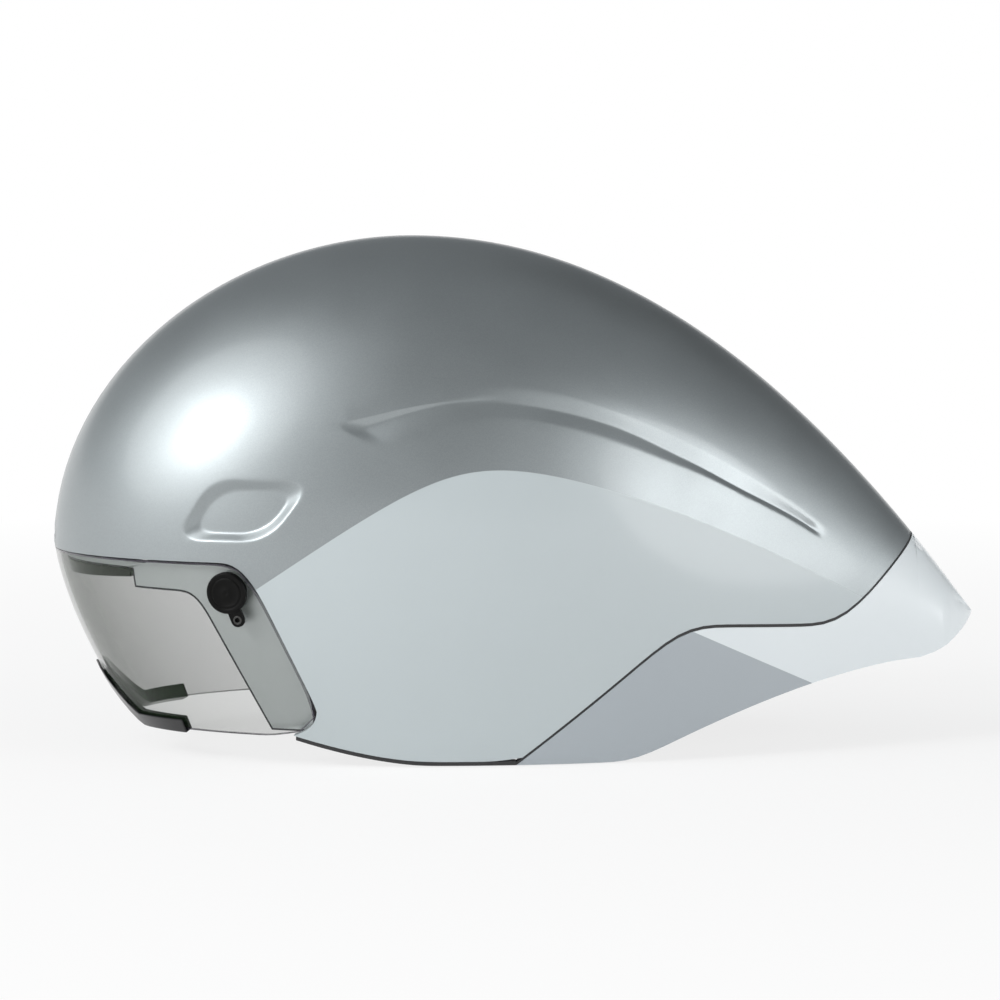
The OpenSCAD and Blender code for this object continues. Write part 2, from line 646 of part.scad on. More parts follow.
foam_depth = shell_wall + bond_gap;
foam_end_x = tail_x - 16;
foam_rows = 14;
foam_front = concat(
    [for (i = [0:4]) mix(brow_x, nose_x + 48, pow(i / 5, 2))],
    even(nose_x + 48, -92, 5),
    [chin_x, chin_x + 1.5],
    even(chin_x + 9, foam_split_x, 11));
foam_tail = even(foam_split_x + bond_gap / 2, foam_end_x, 8);
function foam_row(x) = row_up(x, foam_edge_z(x), x == brow_x ? foam_edge_z(x) : top_z(x), foam_rows, 1.2);
function foam_outside(stations) = both_sides(shifted([for (x = stations) foam_row(x)],
    [-1, 0, 0.05], [1, 0, 0],
    function (p) foam_depth + pocket_clear(p.x, p.z) + 0.6 * ease((p.x - 110) / 20)));
function foam_inside(outside) = [for (row = outside) [for (p = row) on_head(p, 0)]];
foam_all = foam_outside(concat(foam_front, foam_tail));
module front_liner() {
    outside = slice(foam_all, 0, len(foam_front) - 1);
    color(foam_grey) wall(outside, foam_inside(outside), foam_rows);
}
module tail_liner() {
    rear = slice(foam_all, len(foam_front), len(foam_all) - 1);
    end = rear[len(rear) - 1];
    middle = [end[0].x, 0, mix(end[0].z, end[foam_rows].z, 0.4)];
    outside = concat(rear, [[for (p = end) middle]]);
    color(foam_grey) wall(outside, foam_inside(outside), foam_rows);
}

// Pads on the cavity's wall, crowned towards the head

pad_gap = 0.7;
module pad(front0, front1, side0, side1, nf, ns) {
    function swell(u, v) = 0.35 + 0.65 * (1 - pow(2 * u - 1, 4)) * (1 - pow(2 * v - 1, 4));
    function sheet(depth) = [for (i = [0:nf]) [for (j = [0:ns])
        head_at(mix(front0, front1, i / nf), mix(side0, side1, j / ns), depth(i / nf, j / ns))]];
    color(padding) wall(
        sheet(function (u, v) pad_gap),
        sheet(function (u, v) pad_gap + pad_t * swell(u, v)));
}
module forehead_pad() { pad(5, 21, -42, 42, 5, 14); }
module crown_pad() { pad(42, 86, -9, 9, 8, 5); }
module side_pad() { pad(42, 88, -54, -38, 8, 5); }
module side_pad_left() { side_pad(); }
module side_pad_right() { mirror([0, 1, 0]) side_pad(); }
module rear_pad() { pad(132, 158, -38, -14, 6, 5); }
module rear_pad_left() { rear_pad(); }
module rear_pad_right() { mirror([0, 1, 0]) rear_pad(); }

// Flat strips that follow the cavity's wall or hang free

function head_out(p) =
    let (v = p - head)
    let (c = v.z > 0 ? head_c : head_low)
    unit([v.x / head_a / head_a, v.y / head_b / head_b, v.z / c / c]);
function smooth_at(p, i, t) =
    let (a = p[max(i - 1, 0)], b = p[i], c = p[i + 1], d = p[min(i + 2, len(p) - 1)])
    0.5 * (2 * b + (c - a) * t + (2 * a - 5 * b + 4 * c - d) * t * t + (3 * b - a - 3 * c + d) * t * t * t);
function smooth(p, n) = concat([for (i = [0:len(p) - 2]) for (k = [0:n - 1]) smooth_at(p, i, k / n)],
    [p[len(p) - 1]]);
function guide(x, y, z) = head + [x * head_a, y * head_b, z * head_c];
function along_wall(p, n, depth) = [for (q = smooth(p, n)) on_head(q, depth)];
module strip(path, out, width, t) {
    function edge(i, side, depth) =
        let (along = unit(path[min(i + 1, len(path) - 1)] - path[max(i - 1, 0)]))
        let (w = mix(width[0], width[1], i / (len(path) - 1)))
        path[i] + unit(cross(out[i], along)) * side * w / 2 - out[i] * depth;
    function face(depth) = [for (i = [0:len(path) - 1]) [edge(i, -1, depth), edge(i, 1, depth)]];
    wall(face(0), face(t));
}
module wall_strip(points, n, depth, width, t) {
    path = along_wall(points, n, depth);
    strip(path, [for (p = path) head_out(p)], width, t);
}

// Cradle: a housing on a height rail, with a dial that draws two toothed bars with wings together

rail_w = 16;
rail_t = 1.6;
rail_gap = 5.1;
rail_x = head_x + head_a - rail_gap;
rail_low_z = dial_z + dial_d / 2 + height_travel + 1.5;
rail_l = 35;
rail_top_z = rail_low_z + rail_l;
sleeve_h = 8;
sleeve_slack = 0.3;
sleeve_wall = 1.2;
anchor_low_z = rail_low_z + 1 + sleeve_h + height_travel + 2;
module height_rail() {
    color(rubber) translate([rail_x, -rail_w / 2, rail_low_z])
        cube([rail_t, rail_w, rail_top_z - rail_low_z]);
}
module rail_anchor() {
    function seat_at(i, j) =
        let (y = mix(-rail_w / 2, rail_w / 2, j / 4), z = mix(anchor_low_z, rail_top_z, i / 4))
        let (c = z > head_z ? head_c : head_low)
        [head_x + head_a * sqrt(1 - pow(y / head_b, 2) - pow((z - head_z) / c, 2)) - pad_gap, y, z];
    outside = [for (j = [0:4]) [for (i = [0:4]) seat_at(i, j)]];
    color(rubber) wall(outside, [for (row = outside) [for (p = row) [rail_x + rail_t, p.y, p.z]]]);
}

case_x = head_x + head_a - case_inset;
case_back_x = case_x + case_l;
gear_r = gear_m * pinion_n / 2;
gear_x = case_x + 4.2;
gear_t = 4;
shaft_d = 5;
slack = 0.3;
tooth_pitch = PI * gear_m;
bar_back_z = case_h / 2 - case_wall - 2 * slack;
bar_root_z = gear_r + gear_m * 1.25;
bar_out_y = case_w / 2 + rack_travel + 3;
module case_outline(inset) {
    r = 4 - inset;
    for (y = [-1, 1]) for (z = [-1, 1])
        translate([y * (case_w / 2 - 4), z * (case_h / 2 - 4)]) circle(r = r, $fn = 40);
    square([case_w - 8, case_h - 2 * inset], center = true);
    square([case_w - 2 * inset, case_h - 8], center = true);
}
module across(x, l) { translate([x, 0, dial_z]) rotate([90, 0, 90]) linear_extrude(l) children(); }
module case_front() {
    color(rubber) difference() {
        across(case_x, case_wall) case_outline(0);
        across(case_x - 1, case_wall + 2) circle(d = shaft_d + 0.1, $fn = 48);
    }
}
module case_back() {
    window_z = bar_root_z - gear_m * 2.25 - slack;
    sleeve_z = rail_low_z + 1;
    sleeve_out = sleeve_wall + sleeve_slack;
    arm_x = case_back_x - case_wall;
    color(rubber) difference() {
        union() {
            across(case_x + case_wall + joint_gap / 2, case_l - case_wall - joint_gap / 2)
                case_outline(0);
            translate([arm_x, -rail_w / 2, dial_z + case_h / 2 - 3])
                cube([case_wall + 0.4, rail_w, sleeve_z + sleeve_h - dial_z - case_h / 2 + 3]);
            translate([arm_x, -rail_w / 2 - sleeve_out, sleeve_z])
                cube([rail_x + rail_t + sleeve_out - arm_x, rail_w + 2 * sleeve_out, sleeve_h]);
        }
        across(case_x, case_l - case_wall) case_outline(case_wall);
        across(case_x, case_l + 2) circle(d = shaft_d + 0.1, $fn = 48);
        translate([rail_x - sleeve_slack, -rail_w / 2 - sleeve_slack, sleeve_z - 1])
            cube([rail_t + 2 * sleeve_slack, rail_w + 2 * sleeve_slack, sleeve_h + 2]);
        for (turn = [0, 180]) translate([0, 0, dial_z]) rotate([turn, 0, 0])
            translate([gear_x - slack, -case_w / 2 - 1, window_z])
                cube([gear_t + 2 * slack, case_wall + 2, bar_back_z + slack - window_z]);
    }
}
module gear_outline() {
    tip = gear_r + gear_m * 0.85;
    root = gear_r - gear_m * 1.25;
    union() {
        circle(r = root, $fn = 60);
        for (k = [0:pinion_n - 1]) rotate(k * 360 / pinion_n)
            polygon([[root - 0.6, -gear_m * 0.95], [gear_r, -gear_m * 0.62], [tip, -gear_m * 0.34],
                [tip, gear_m * 0.34], [gear_r, gear_m * 0.62], [root - 0.6, gear_m * 0.95]]);
    }
}
module pinion() {
    color(rubber) {
        across(gear_x, gear_t) rotate(90) gear_outline();
        across(case_x + 0.2, case_l + 5) circle(d = shaft_d, $fn = 48);
    }
}
module dial() {
    dial_t = 9;
    color(rubber) difference() {
        across(case_back_x + 0.5, dial_t) circle(d = dial_d, $fn = 96);
        for (k = [0:13]) translate([0, 0, dial_z]) rotate([k * 360 / 14, 0, 0])
            translate([case_back_x, 0, dial_d / 2 + 0.7]) rotate([0, 90, 0])
                cylinder(d = 3, h = dial_t + 2, $fn = 24);
        across(case_back_x, 5.2) circle(d = shaft_d + 0.06, $fn = 48);
        across(case_back_x + dial_t - 1, 3) circle(d = dial_d - 9, $fn = 72);
    }
}
module rack() {
    teeth = [for (k = [-5:2])
        let (y = (k + 0.5) * tooth_pitch)
        each [[y - gear_m * 0.98, bar_root_z], [y - gear_m * 0.25, gear_r - gear_m * 0.85],
            [y + gear_m * 0.25, gear_r - gear_m * 0.85], [y + gear_m * 0.98, bar_root_z]]];
    inner_y = case_w / 2 - case_wall - slack - rack_travel - 1.6;
    outline = concat([[-bar_out_y, bar_back_z], [-bar_out_y, bar_root_z]], teeth,
        [[inner_y, bar_root_z], [inner_y, bar_back_z]]);
    color(padding) across(gear_x, gear_t) polygon(outline);
}
module rack_left() { rack(); }
module rack_right() { translate([0, 0, dial_z]) rotate([180, 0, 0]) translate([0, 0, -dial_z]) rack(); }

// Wings on the bars, their pads, and the arms that guide them

wing_depth = 3.2;
wing_t = 1.6;
wing_line = along_wall([[head_x + 0.863 * head_a, -bar_out_y - 1.3, dial_z],
    [head_x + 0.784 * head_a, -bar_out_y - 13, dial_z],
    [head_x + 0.667 * head_a, -bar_out_y - 26, dial_z + 3]], 6, wing_depth);
wing_out = [for (i = [0:len(wing_line) - 1])
    let (o = head_out(wing_line[i]))
    unit([o.x, o.y, o.z * i / (len(wing_line) - 1)])];
module wing() {
    color(rubber) strip(wing_line, wing_out, [case_h - 1, 14], wing_t);
}
module wing_left() { wing(); }
module wing_right() { mirror([0, 1, 0]) wing(); }
module wing_pad() {
    part = [for (i = [3:len(wing_line) - 2]) i];
    path = [for (i = part) wing_line[i] - wing_out[i] * (wing_t + 0.3)];
    color(padding) strip(path, [for (i = part) wing_out[i]], [case_h - 8, 11], pad_t * 0.7);
}
module wing_pad_left() { wing_pad(); }
module wing_pad_right() { mirror([0, 1, 0]) wing_pad(); }
arm_t = 1.2;
module side_arm() {
    color(rubber) wall_strip([guide(-0.275, -0.927, -0.275), guide(0.06, -1, -0.314),
        guide(0.392, -0.951, -0.353), guide(0.647, -0.756, -0.382)], 5, 0.5, [9, 9], arm_t);
}
module side_arm_left() { side_arm(); }
module side_arm_right() { mirror([0, 1, 0]) side_arm(); }

// Straps, stowed buckled inside the helmet: two legs a side, a divider, and a strap over the arch

strap_depth = 0.5 + arm_t + 0.7;
front_foot = guide(-0.235, -0.951, -0.52);
rear_foot = guide(0.529, -0.829, -0.5);
divider_at = guide(0.176, -0.976, 0.059);
keeper_guide = guide(0.216, -0.89, 0.412);
divider_w = 37;
divider_h = 16;
divider_t = web_t + 4;
module at_wall(guide) {
    p = on_head(guide, 0);
    facing(head_out(p), p) children();
}
module slab(x0, x1, y0, y1, z0, z1) {
    translate([x0, y0, z0]) cube([x1 - x0, y1 - y0, z1 - z0]);
}
module strap_anchors() {
    color(rubber) on_sides() for (foot = [front_foot, rear_foot])
        at_wall(foot) translate([0, 0, -strap_depth + 0.5])
            cylinder(d = web_w - 2, h = strap_depth - 1.1, $fn = 48);
}
module front_strap() {
    color(web_black) wall_strip(
        [front_foot - [2, 0, 4], guide(-0.078, -1, -0.235), divider_at + [-7.6, 0, -8.4]],
        6, strap_depth, [web_w, web_w], web_t);
}
module rear_strap() {
    color(web_black) wall_strip(
        [rear_foot + [1.5, 0, -4], guide(0.392, -0.976, -0.216), divider_at + [8.8, 0, -8.4]],
        6, strap_depth, [web_w, web_w], web_t);
}
module front_strap_left() { front_strap(); }
module front_strap_right() { mirror([0, 1, 0]) front_strap(); }
module rear_strap_left() { rear_strap(); }
module rear_strap_right() { mirror([0, 1, 0]) rear_strap(); }
module divider() {
    top = -strap_depth + 0.45;
    slot_low = -strap_depth - web_t - 1.6;
    color(rubber) at_wall(divider_at) difference() {
        slab(-divider_w / 2, divider_w / 2, -divider_h / 2, divider_h / 2, top - divider_t, top);
        slab(-divider_w / 2 + 0.8, divider_w / 2 - 0.8, -divider_h / 2 - 1, -2.4, slot_low, top - 0.2);
        slab(-web_w / 2 - 1, web_w / 2 + 1, 2, divider_h / 2 + 1, slot_low, top - 0.2);
        slab(-9, 9, -1, 1, top - divider_t - 1, slot_low + 1);
    }
}
module divider_left() { divider(); }
module divider_right() { mirror([0, 1, 0]) divider(); }

loop_half = 3;
bar_y = 25;
strap_top_z = buckle_z + loop_half + slack + web_t;
module chin_strap() {
    arch_end = guide(0, -0.5, 0.804);
    climb = along_wall([divider_at + [0.5, 0, 5], keeper_guide, guide(0.275, -0.695, 0.657),
        [arch_x, arch_end.y, arch_end.z]], 6, strap_depth);
    flat_end = [for (off = [10, 4, -1]) [arch_x, -bar_y - off, strap_top_z]];
    path = concat(climb, flat_end);
    out = [for (p = path) unit(mix(head_out(p), [0, 0, 1], ease((bar_y + 21 + p.y) / 12)))];
    color(web_black) strip(path, out, [web_w, web_w], web_t);
}
module chin_strap_left() { chin_strap(); }
module chin_strap_right() { mirror([0, 1, 0]) chin_strap(); }

buckle_half = 11;
module buckle_frame() {
    difference() {
        slab(-buckle_half, buckle_half, 3.5, bar_y + 1.5, -loop_half, loop_half);
        slab(-buckle_half + 2, buckle_half - 2, 19.5, bar_y + 2, -loop_half - 1, loop_half + 1);
    }
    slab(-buckle_half + 1.9, buckle_half - 1.9, bar_y - 1.5, bar_y + 1.5, -1.6, 1.6);
}
module buckle_socket() {
    inner = buckle_half - 2.2;
    color(rubber) translate([arch_x, 0, buckle_z]) difference() {
        union() {
            mirror([0, 1, 0]) buckle_frame();
            slab(-buckle_half, buckle_half, -18, 3, -loop_half - 0.4, loop_half);
        }
        slab(-inner, inner, -15, 4, -2, 2);
        slab(-buckle_half - 1, buckle_half + 1, -11, -4, -2, 2);
    }
}
module buckle_plug() {
    outer = buckle_half - 2.5;
    color(rubber) translate([arch_x, 0, buckle_z]) {
        buckle_frame();
        slab(-2, 2, -13, 3.6, -1.7, 1.7);
        for (side = [-1, 1])
            slab(side * (outer - 1.8) - 1.8, side * (outer - 1.8) + 1.8, -13, 3.6, -1.7, 1.7);
    }
}
module web_loop() {
    difference() {
        slab(-web_w / 2, web_w / 2, bar_y - 1.7 - web_t, bar_y + 1.7 + web_t, -loop_half, loop_half);
        slab(-web_w / 2 - 1, web_w / 2 + 1, bar_y - 1.7, bar_y + 1.7,
            -loop_half + web_t, loop_half - web_t);
    }
}
module socket_loop() { color(web_black) translate([arch_x, 0, buckle_z]) mirror([0, 1, 0]) web_loop(); }
module plug_loop() { color(web_black) translate([arch_x, 0, buckle_z]) web_loop(); }
module strap_keeper() {
    top = -strap_depth + 1.2;
    low = -strap_depth - web_t - 1.6;
    color(rubber) mirror([0, 1, 0]) at_wall(keeper_guide) difference() {
        slab(-web_w / 2 - 2, web_w / 2 + 2, -3, 3, low, top);
        slab(-web_w / 2 - 0.9, web_w / 2 + 0.9, -4, 4, low + 0.9, top - 0.5);
    }
}

outer_shell();
tail_shell();
seam_gasket();
lower_trim_left();
lower_trim_right();
visor_seat();
brow_gasket();
visor_lens();
nose_trim();
knob_left();
knob_right();
knob_magnet_left();
knob_magnet_right();
keeper_left();
keeper_right();
front_liner();
tail_liner();
forehead_pad();
crown_pad();
side_pad_left();
side_pad_right();
rear_pad_left();
rear_pad_right();
height_rail();
rail_anchor();
case_front();
case_back();
dial();
pinion();
rack_left();
rack_right();
wing_left();
wing_right();
wing_pad_left();
wing_pad_right();
side_arm_left();
side_arm_right();
strap_anchors();
front_strap_left();
front_strap_right();
rear_strap_left();
rear_strap_right();
divider_left();
divider_right();
chin_strap_left();
chin_strap_right();
buckle_socket();
buckle_plug();
socket_loop();
plug_loop();
strap_keeper();
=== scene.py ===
"""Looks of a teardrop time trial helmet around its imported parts.

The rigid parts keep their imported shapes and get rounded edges, a finer relief and finishes. The pads,
straps and knob faces are modelled here, in metres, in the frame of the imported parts.
"""

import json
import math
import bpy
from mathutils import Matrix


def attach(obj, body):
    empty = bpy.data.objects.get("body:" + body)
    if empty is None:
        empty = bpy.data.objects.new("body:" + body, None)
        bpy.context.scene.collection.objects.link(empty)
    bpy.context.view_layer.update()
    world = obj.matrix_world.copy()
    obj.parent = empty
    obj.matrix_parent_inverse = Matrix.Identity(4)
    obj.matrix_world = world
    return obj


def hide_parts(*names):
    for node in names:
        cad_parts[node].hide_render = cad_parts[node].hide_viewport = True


bl_info = {
    "name": "Time Trial Helmet Looks",
    "version": (1, 0, 0),
    "blender": (4, 5, 0),
    "location": "3D View > Sidebar > Helmet",
    "description": "Lacquer, lens, foam, pads, webbing and stage for a time trial helmet",
    "category": "Object",
}

import bmesh
import bpy
from bpy.props import FloatProperty, FloatVectorProperty, IntProperty, PointerProperty
from mathutils import Matrix, Vector

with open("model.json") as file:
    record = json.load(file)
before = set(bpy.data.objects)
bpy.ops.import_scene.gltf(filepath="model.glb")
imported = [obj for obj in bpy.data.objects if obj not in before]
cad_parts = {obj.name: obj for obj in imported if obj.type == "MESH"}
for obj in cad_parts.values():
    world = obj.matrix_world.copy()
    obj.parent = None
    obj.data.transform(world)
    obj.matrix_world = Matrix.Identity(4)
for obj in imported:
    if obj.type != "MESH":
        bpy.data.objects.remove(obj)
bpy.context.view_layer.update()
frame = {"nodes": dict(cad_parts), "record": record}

MM = 0.001
BODIES = frame["record"]["behaviour"]["bodies"]
BODY_OF = {node: body for body, nodes in BODIES.items() for node in nodes}


# Sizes and colours

def tint(name, text, value):
    return FloatVectorProperty(name=name, description=text, default=value, size=3, min=0, max=1,
                               subtype="COLOR")


def mm(name, text, value):
    return FloatProperty(name=name, description=text, default=value * MM, precision=5, unit="LENGTH")


def share(name, text, value):
    return FloatProperty(name=name, description=text, default=value, min=0, max=1, subtype="FACTOR")


class HelmetPaint(bpy.types.PropertyGroup):
    """Lacquer of the two shells."""

    silver: tint("Silver", "Upper lacquer of the main shell", (0.33, 0.36, 0.37))
    pale: tint("Pale", "Lower lacquer of the main shell", (0.53, 0.585, 0.60))
    tail_pale: tint("Tail pale", "Lacquer of the tail's tip and flanks", (0.81, 0.86, 0.88))
    tail_grey: tint("Tail grey", "Lacquer of the tail's lower front", (0.41, 0.45, 0.48))
    silver_metal: share("Metal of silver", "How metallic the silver is", 0.75)
    silver_rough: share("Roughness of silver", "Spread of the silver's highlights", 0.42)
    pale_rough: share("Roughness of pale", "Spread of the pale lacquer's highlights", 0.38)
    flake: mm("Flake", "Size of the metal flakes", 0.25)
    pocket_depth: mm("Pocket depth", "Depth of the blind pocket over the lens's corner", 2.6)
    crease_depth: mm("Crease depth", "Depth of the long crease", 1.3)
    apex_x: mm("Line apex place", "Where the two runs of the paint line would meet", -30.4)
    apex_z: mm("Line apex height", "Height where the two runs would meet", 131.3)
    climb: FloatProperty(name="Line climb", description="Slope of the paint line's front run", default=0.740)
    fall: FloatProperty(name="Line fall", description="Slope of the paint line's rear run", default=-0.267)
    round: mm("Line round", "Reach of the round between the two runs", 33.2)
    bow: FloatProperty(name="Line bow", description="How much the rear run steepens, per metre", default=0.9)
    tail_line_x: mm("Tail line place", "A point on the line between the tail's tones", 63)
    tail_line_z: mm("Tail line height", "Height of that point", 51.1)
    tail_line_slope: FloatProperty(name="Tail line slope", description="Slope of that line", default=-0.467)


class HelmetVisor(bpy.types.PropertyGroup):
    """Lens, its seat, gaskets and trims."""

    smoke: tint("Smoke", "Tint of the lens", (0.022, 0.042, 0.020))
    density: share("Density", "Share of light that each face holds back, seen square on", 0.12)
    edge_density: share("Edge density", "The same, seen along the surface", 0.5)
    seat: tint("Seat", "Silver of the seat behind the lens", (0.72, 0.76, 0.76))
    # Dark colour painted along the rims: painted shade in the gap at the seat's edge, and the lens's dark cut
    # edge with painted shade beside it
    edge: tint("Edge", "Dark line along the edges of lens and seat", (0.035, 0.030, 0.045))
    edge_width: mm("Edge width", "Width of that line", 0.8)
    gloss: tint("Gloss black", "Moulded gasket under the brow", (0.012, 0.010, 0.010))
    rubber: tint("Rubber", "Trims along the edges", (0.018, 0.018, 0.019))
    nose: tint("Nose rubber", "Soft trim along the nose notch", (0.008, 0.008, 0.009))
    nose_round: mm("Nose round", "Radius on the nose trim's edges", 0.8)


class HelmetFittings(bpy.types.PropertyGroup):
    """Knobs, cradle and buckle."""

    nylon: tint("Nylon", "Moulded black of the fittings", (0.028, 0.028, 0.030))
    knob: tint("Knob", "Satin black of the knobs", (0.003, 0.003, 0.0028))
    gear: tint("Gear nylon", "Toothed bars and pinion", (0.065, 0.065, 0.070))
    steel: tint("Steel", "Magnets and keepers", (0.50, 0.50, 0.51))
    edge: mm("Edge round", "Radius on the edges of moulded pieces", 0.3)
    grain: mm("Grain", "Size of the moulded grain", 0.55)


class HelmetLining(bpy.types.PropertyGroup):
    """Foam, pads and webbing."""

    foam: tint("Foam", "Moulded bead foam", (0.030, 0.030, 0.032))
    bead: mm("Bead", "Size of the foam's beads", 2.6)
    knit: tint("Knit", "Fabric of the pads", (0.030, 0.031, 0.034))
    knit_pitch: mm("Knit pitch", "Spacing of the knit's loops", 0.9)
    voxel: mm("Voxel", "Cell size of the pads' cloth", 1.6)
    puff: mm("Puff", "Most that the cloth moves from the foam", 0.9)
    pressure: FloatProperty(name="Pressure", description="Push of the filling on the cloth", default=4.0)
    frames: IntProperty(name="Frames", description="Steps of the cloth simulation", default=16)
    webbing: tint("Webbing", "Woven straps", (0.022, 0.022, 0.024))
    rib: mm("Rib", "Spacing of the weave's ribs along a strap", 1.1)
    web_width: mm("Webbing width", "Width of the straps", 15)
    web_thickness: mm("Webbing thickness", "Thickness of the straps", 1.2)


class HelmetStage(bpy.types.PropertyGroup):
    """Camera, floor and lights."""

    aim: FloatVectorProperty(name="Aim", description="Point that the camera looks at",
                             default=(-0.0068, 0.0, 0.0970), unit="LENGTH")
    azimuth: FloatProperty(name="Azimuth", description="Turn of the camera round the helmet",
                           default=math.radians(-4.4), unit="ROTATION")
    elevation: FloatProperty(name="Elevation", description="Height angle of the camera",
                             default=math.radians(4.6), unit="ROTATION")
    distance: FloatProperty(name="Distance", description="From the aim to the camera", default=2.0,
                            unit="LENGTH")
    width: FloatProperty(name="View width", description="Width of the view at the aim", default=0.40816,
                         unit="LENGTH")
    floor: tint("Floor", "Floor and backdrop", (0.86, 0.86, 0.86))
    glow: share("Glow", "How near to white the floor is seen beside the helmet", 0.8)
    ceiling: tint("Ceiling", "Light from straight above", (0.16, 0.17, 0.18))
    around: tint("Around", "Light from the sides", (0.46, 0.48, 0.49))


# Materials

class Finish:
    """A material under construction: each call adds a node and links what it is given."""

    def __init__(self, name, **shader):
        self.material = bpy.data.materials.new(name)
        self.material.use_nodes = True
        self.tree = self.material.node_tree
        self.shader = self.tree.nodes["Principled BSDF"]
        self.where = self.add("TexCoord").outputs["Object"]
        for label, value in shader.items():
            self.put(self.shader, label.replace("_", " "), value)

    @classmethod
    def of_world(cls, world):
        """The same calls on a world's nodes."""
        made = cls.__new__(cls)
        world.use_nodes = True
        made.tree = world.node_tree
        return made

    def put(self, made, label, value):
        if isinstance(value, bpy.types.NodeSocket):
            self.tree.links.new(value, made.inputs[label])
        elif isinstance(made.inputs[label], bpy.types.NodeSocketColor) and len(value) == 3:
            made.inputs[label].default_value = (*value, 1)
        else:
            made.inputs[label].default_value = value

    def give(self, label, value):
        """Sets or links an input of the material's own shader."""
        self.put(self.shader, label, value)

    def add(self, kind, inputs=None, **settings):
        made = self.tree.nodes.new("ShaderNode" + kind)
        for label, value in settings.items():
            setattr(made, label, value)
        for label, value in (inputs or {}).items():
            self.put(made, label, value)
        return made

    def sum(self, operation, *values):
        inputs = dict(enumerate(values))
        return self.add("Math", inputs, operation=operation).outputs[0]

    def blend(self, factor, low, high):
        made = self.add("Mix", data_type="RGBA")
        made.clamp_factor = True
        self.put(made, 0, factor)
        self.put(made, 6, low)
        self.put(made, 7, high)
        return made.outputs[2]

    def tones(self, factor, colour, low, high):
        """From one shade of a colour to another."""
        return self.blend(factor, shade(colour, low), shade(colour, high))

    def between(self, value, low, high, to_low=0.0, to_high=1.0, **settings):
        inputs = {"Value": value, "From Min": low, "From Max": high, "To Min": to_low, "To Max": to_high}
        return self.add("MapRange", inputs, **settings).outputs[0]

    def spread(self, noise, low, high):
        """Lays the usual reach of a noise, 0.3 to 0.7, over the values from low to high."""
        return self.between(noise, 0.3, 0.7, low, high)

    def noise(self, size, detail=2.0, where=None):
        inputs = {"Vector": where or self.where, "Scale": 1 / size, "Detail": detail}
        return self.add("TexNoise", inputs).outputs["Fac"]

    def cells(self, size, feature="F1", where=None):
        return self.add("TexVoronoi", {"Vector": where or self.where, "Scale": 1 / size}, feature=feature)

    def bump(self, height, depth, under=None):
        inputs = {"Height": height, "Distance": depth}
        if under:
            inputs["Normal"] = under
        return self.add("Bump", inputs).outputs[0]

    def axes(self, where=None):
        return self.add("SeparateXYZ", {0: where or self.where}).outputs


def shade(colour, factor):
    return tuple(min(1.0, c * factor) for c in colour)


def side_line(finish, value, line):
    """1 above the line and 0 below it, with an edge a tenth of a millimetre wide."""
    return finish.between(finish.sum("SUBTRACT", value, line), -0.05 * MM, 0.05 * MM)


def shell_lacquer(paint):
    """Silver metallic lacquer above the paint line, and pale lacquer below it, under a clear coat."""
    made = Finish("shell_lacquer", Coat_Weight=0.4, Coat_Roughness=0.12, IOR=1.5)
    x, _, z = made.axes()
    off = made.sum("SUBTRACT", x, paint.apex_x)
    run = made.sum("SQRT", made.sum("MULTIPLY_ADD", off, off, paint.round ** 2))
    line = made.sum("MULTIPLY_ADD", off, (paint.climb + paint.fall) / 2, paint.apex_z)
    line = made.sum("MULTIPLY_ADD", run, (paint.fall - paint.climb) / 2, line)
    behind = made.sum("MAXIMUM", off, 0.0)
    steeper = made.sum("MULTIPLY", made.sum("MULTIPLY", behind, behind), paint.bow)
    upper = side_line(made, z, made.sum("SUBTRACT", line, steeper))
    flakes = made.cells(paint.flake).outputs["Color"]
    sparkle = made.add("SeparateColor", {0: flakes}).outputs[0]
    dark = made.tones(sparkle, paint.silver, 0.95, 1.05)
    drift = made.noise(0.06, 3)
    pale = made.tones(drift, paint.pale, 0.97, 1.02)
    made.give("Base Color", made.blend(upper, pale, dark))
    made.give("Metallic", made.sum("MULTIPLY", upper, paint.silver_metal))
    rough = made.between(upper, 0, 1, paint.pale_rough, paint.silver_rough)
    smudge = made.spread(made.noise(0.03, 4), -0.03, 0.03)
    made.give("Roughness", made.sum("ADD", rough, smudge))
    peel = made.bump(made.noise(1.6 * MM, 1), 0.004 * MM)
    made.give("Normal", made.bump(sparkle, 0.002 * MM, under=peel))
    return made.material


def tail_lacquer(paint):
    """Pale lacquer over the tail and a greyer tone below the line at its lower front."""
    made = Finish("tail_lacquer", Coat_Weight=0.6, Coat_Roughness=0.1, IOR=1.5)
    x, _, z = made.axes()
    off = made.sum("SUBTRACT", x, paint.tail_line_x)
    line = made.sum("MULTIPLY_ADD", off, paint.tail_line_slope, paint.tail_line_z)
    upper = side_line(made, z, line)
    tone = made.blend(upper, paint.tail_grey, paint.tail_pale)
    drift = made.spread(made.noise(0.05, 3), 0.0, 0.05)
    made.give("Base Color", made.blend(drift, tone, (0.5, 0.55, 0.6)))
    made.give("Roughness", made.spread(made.noise(0.03, 4), 0.33, 0.4))
    made.give("Normal", made.bump(made.noise(1.6 * MM, 1), 0.004 * MM))
    return made.material


def seat_satin(visor):
    """Satin silver on the moulded seat."""
    made = Finish("seat_satin", Metallic=0.7, Coat_Weight=0.2, Coat_Roughness=0.2)
    flakes = made.noise(0.4 * MM, 2)
    made.give("Base Color", made.tones(flakes, visor.seat, 0.9, 1.1))
    made.give("Roughness", made.spread(made.noise(0.02, 3), 0.36, 0.44))
    made.give("Normal", made.bump(flakes, 0.01 * MM))
    return made.material


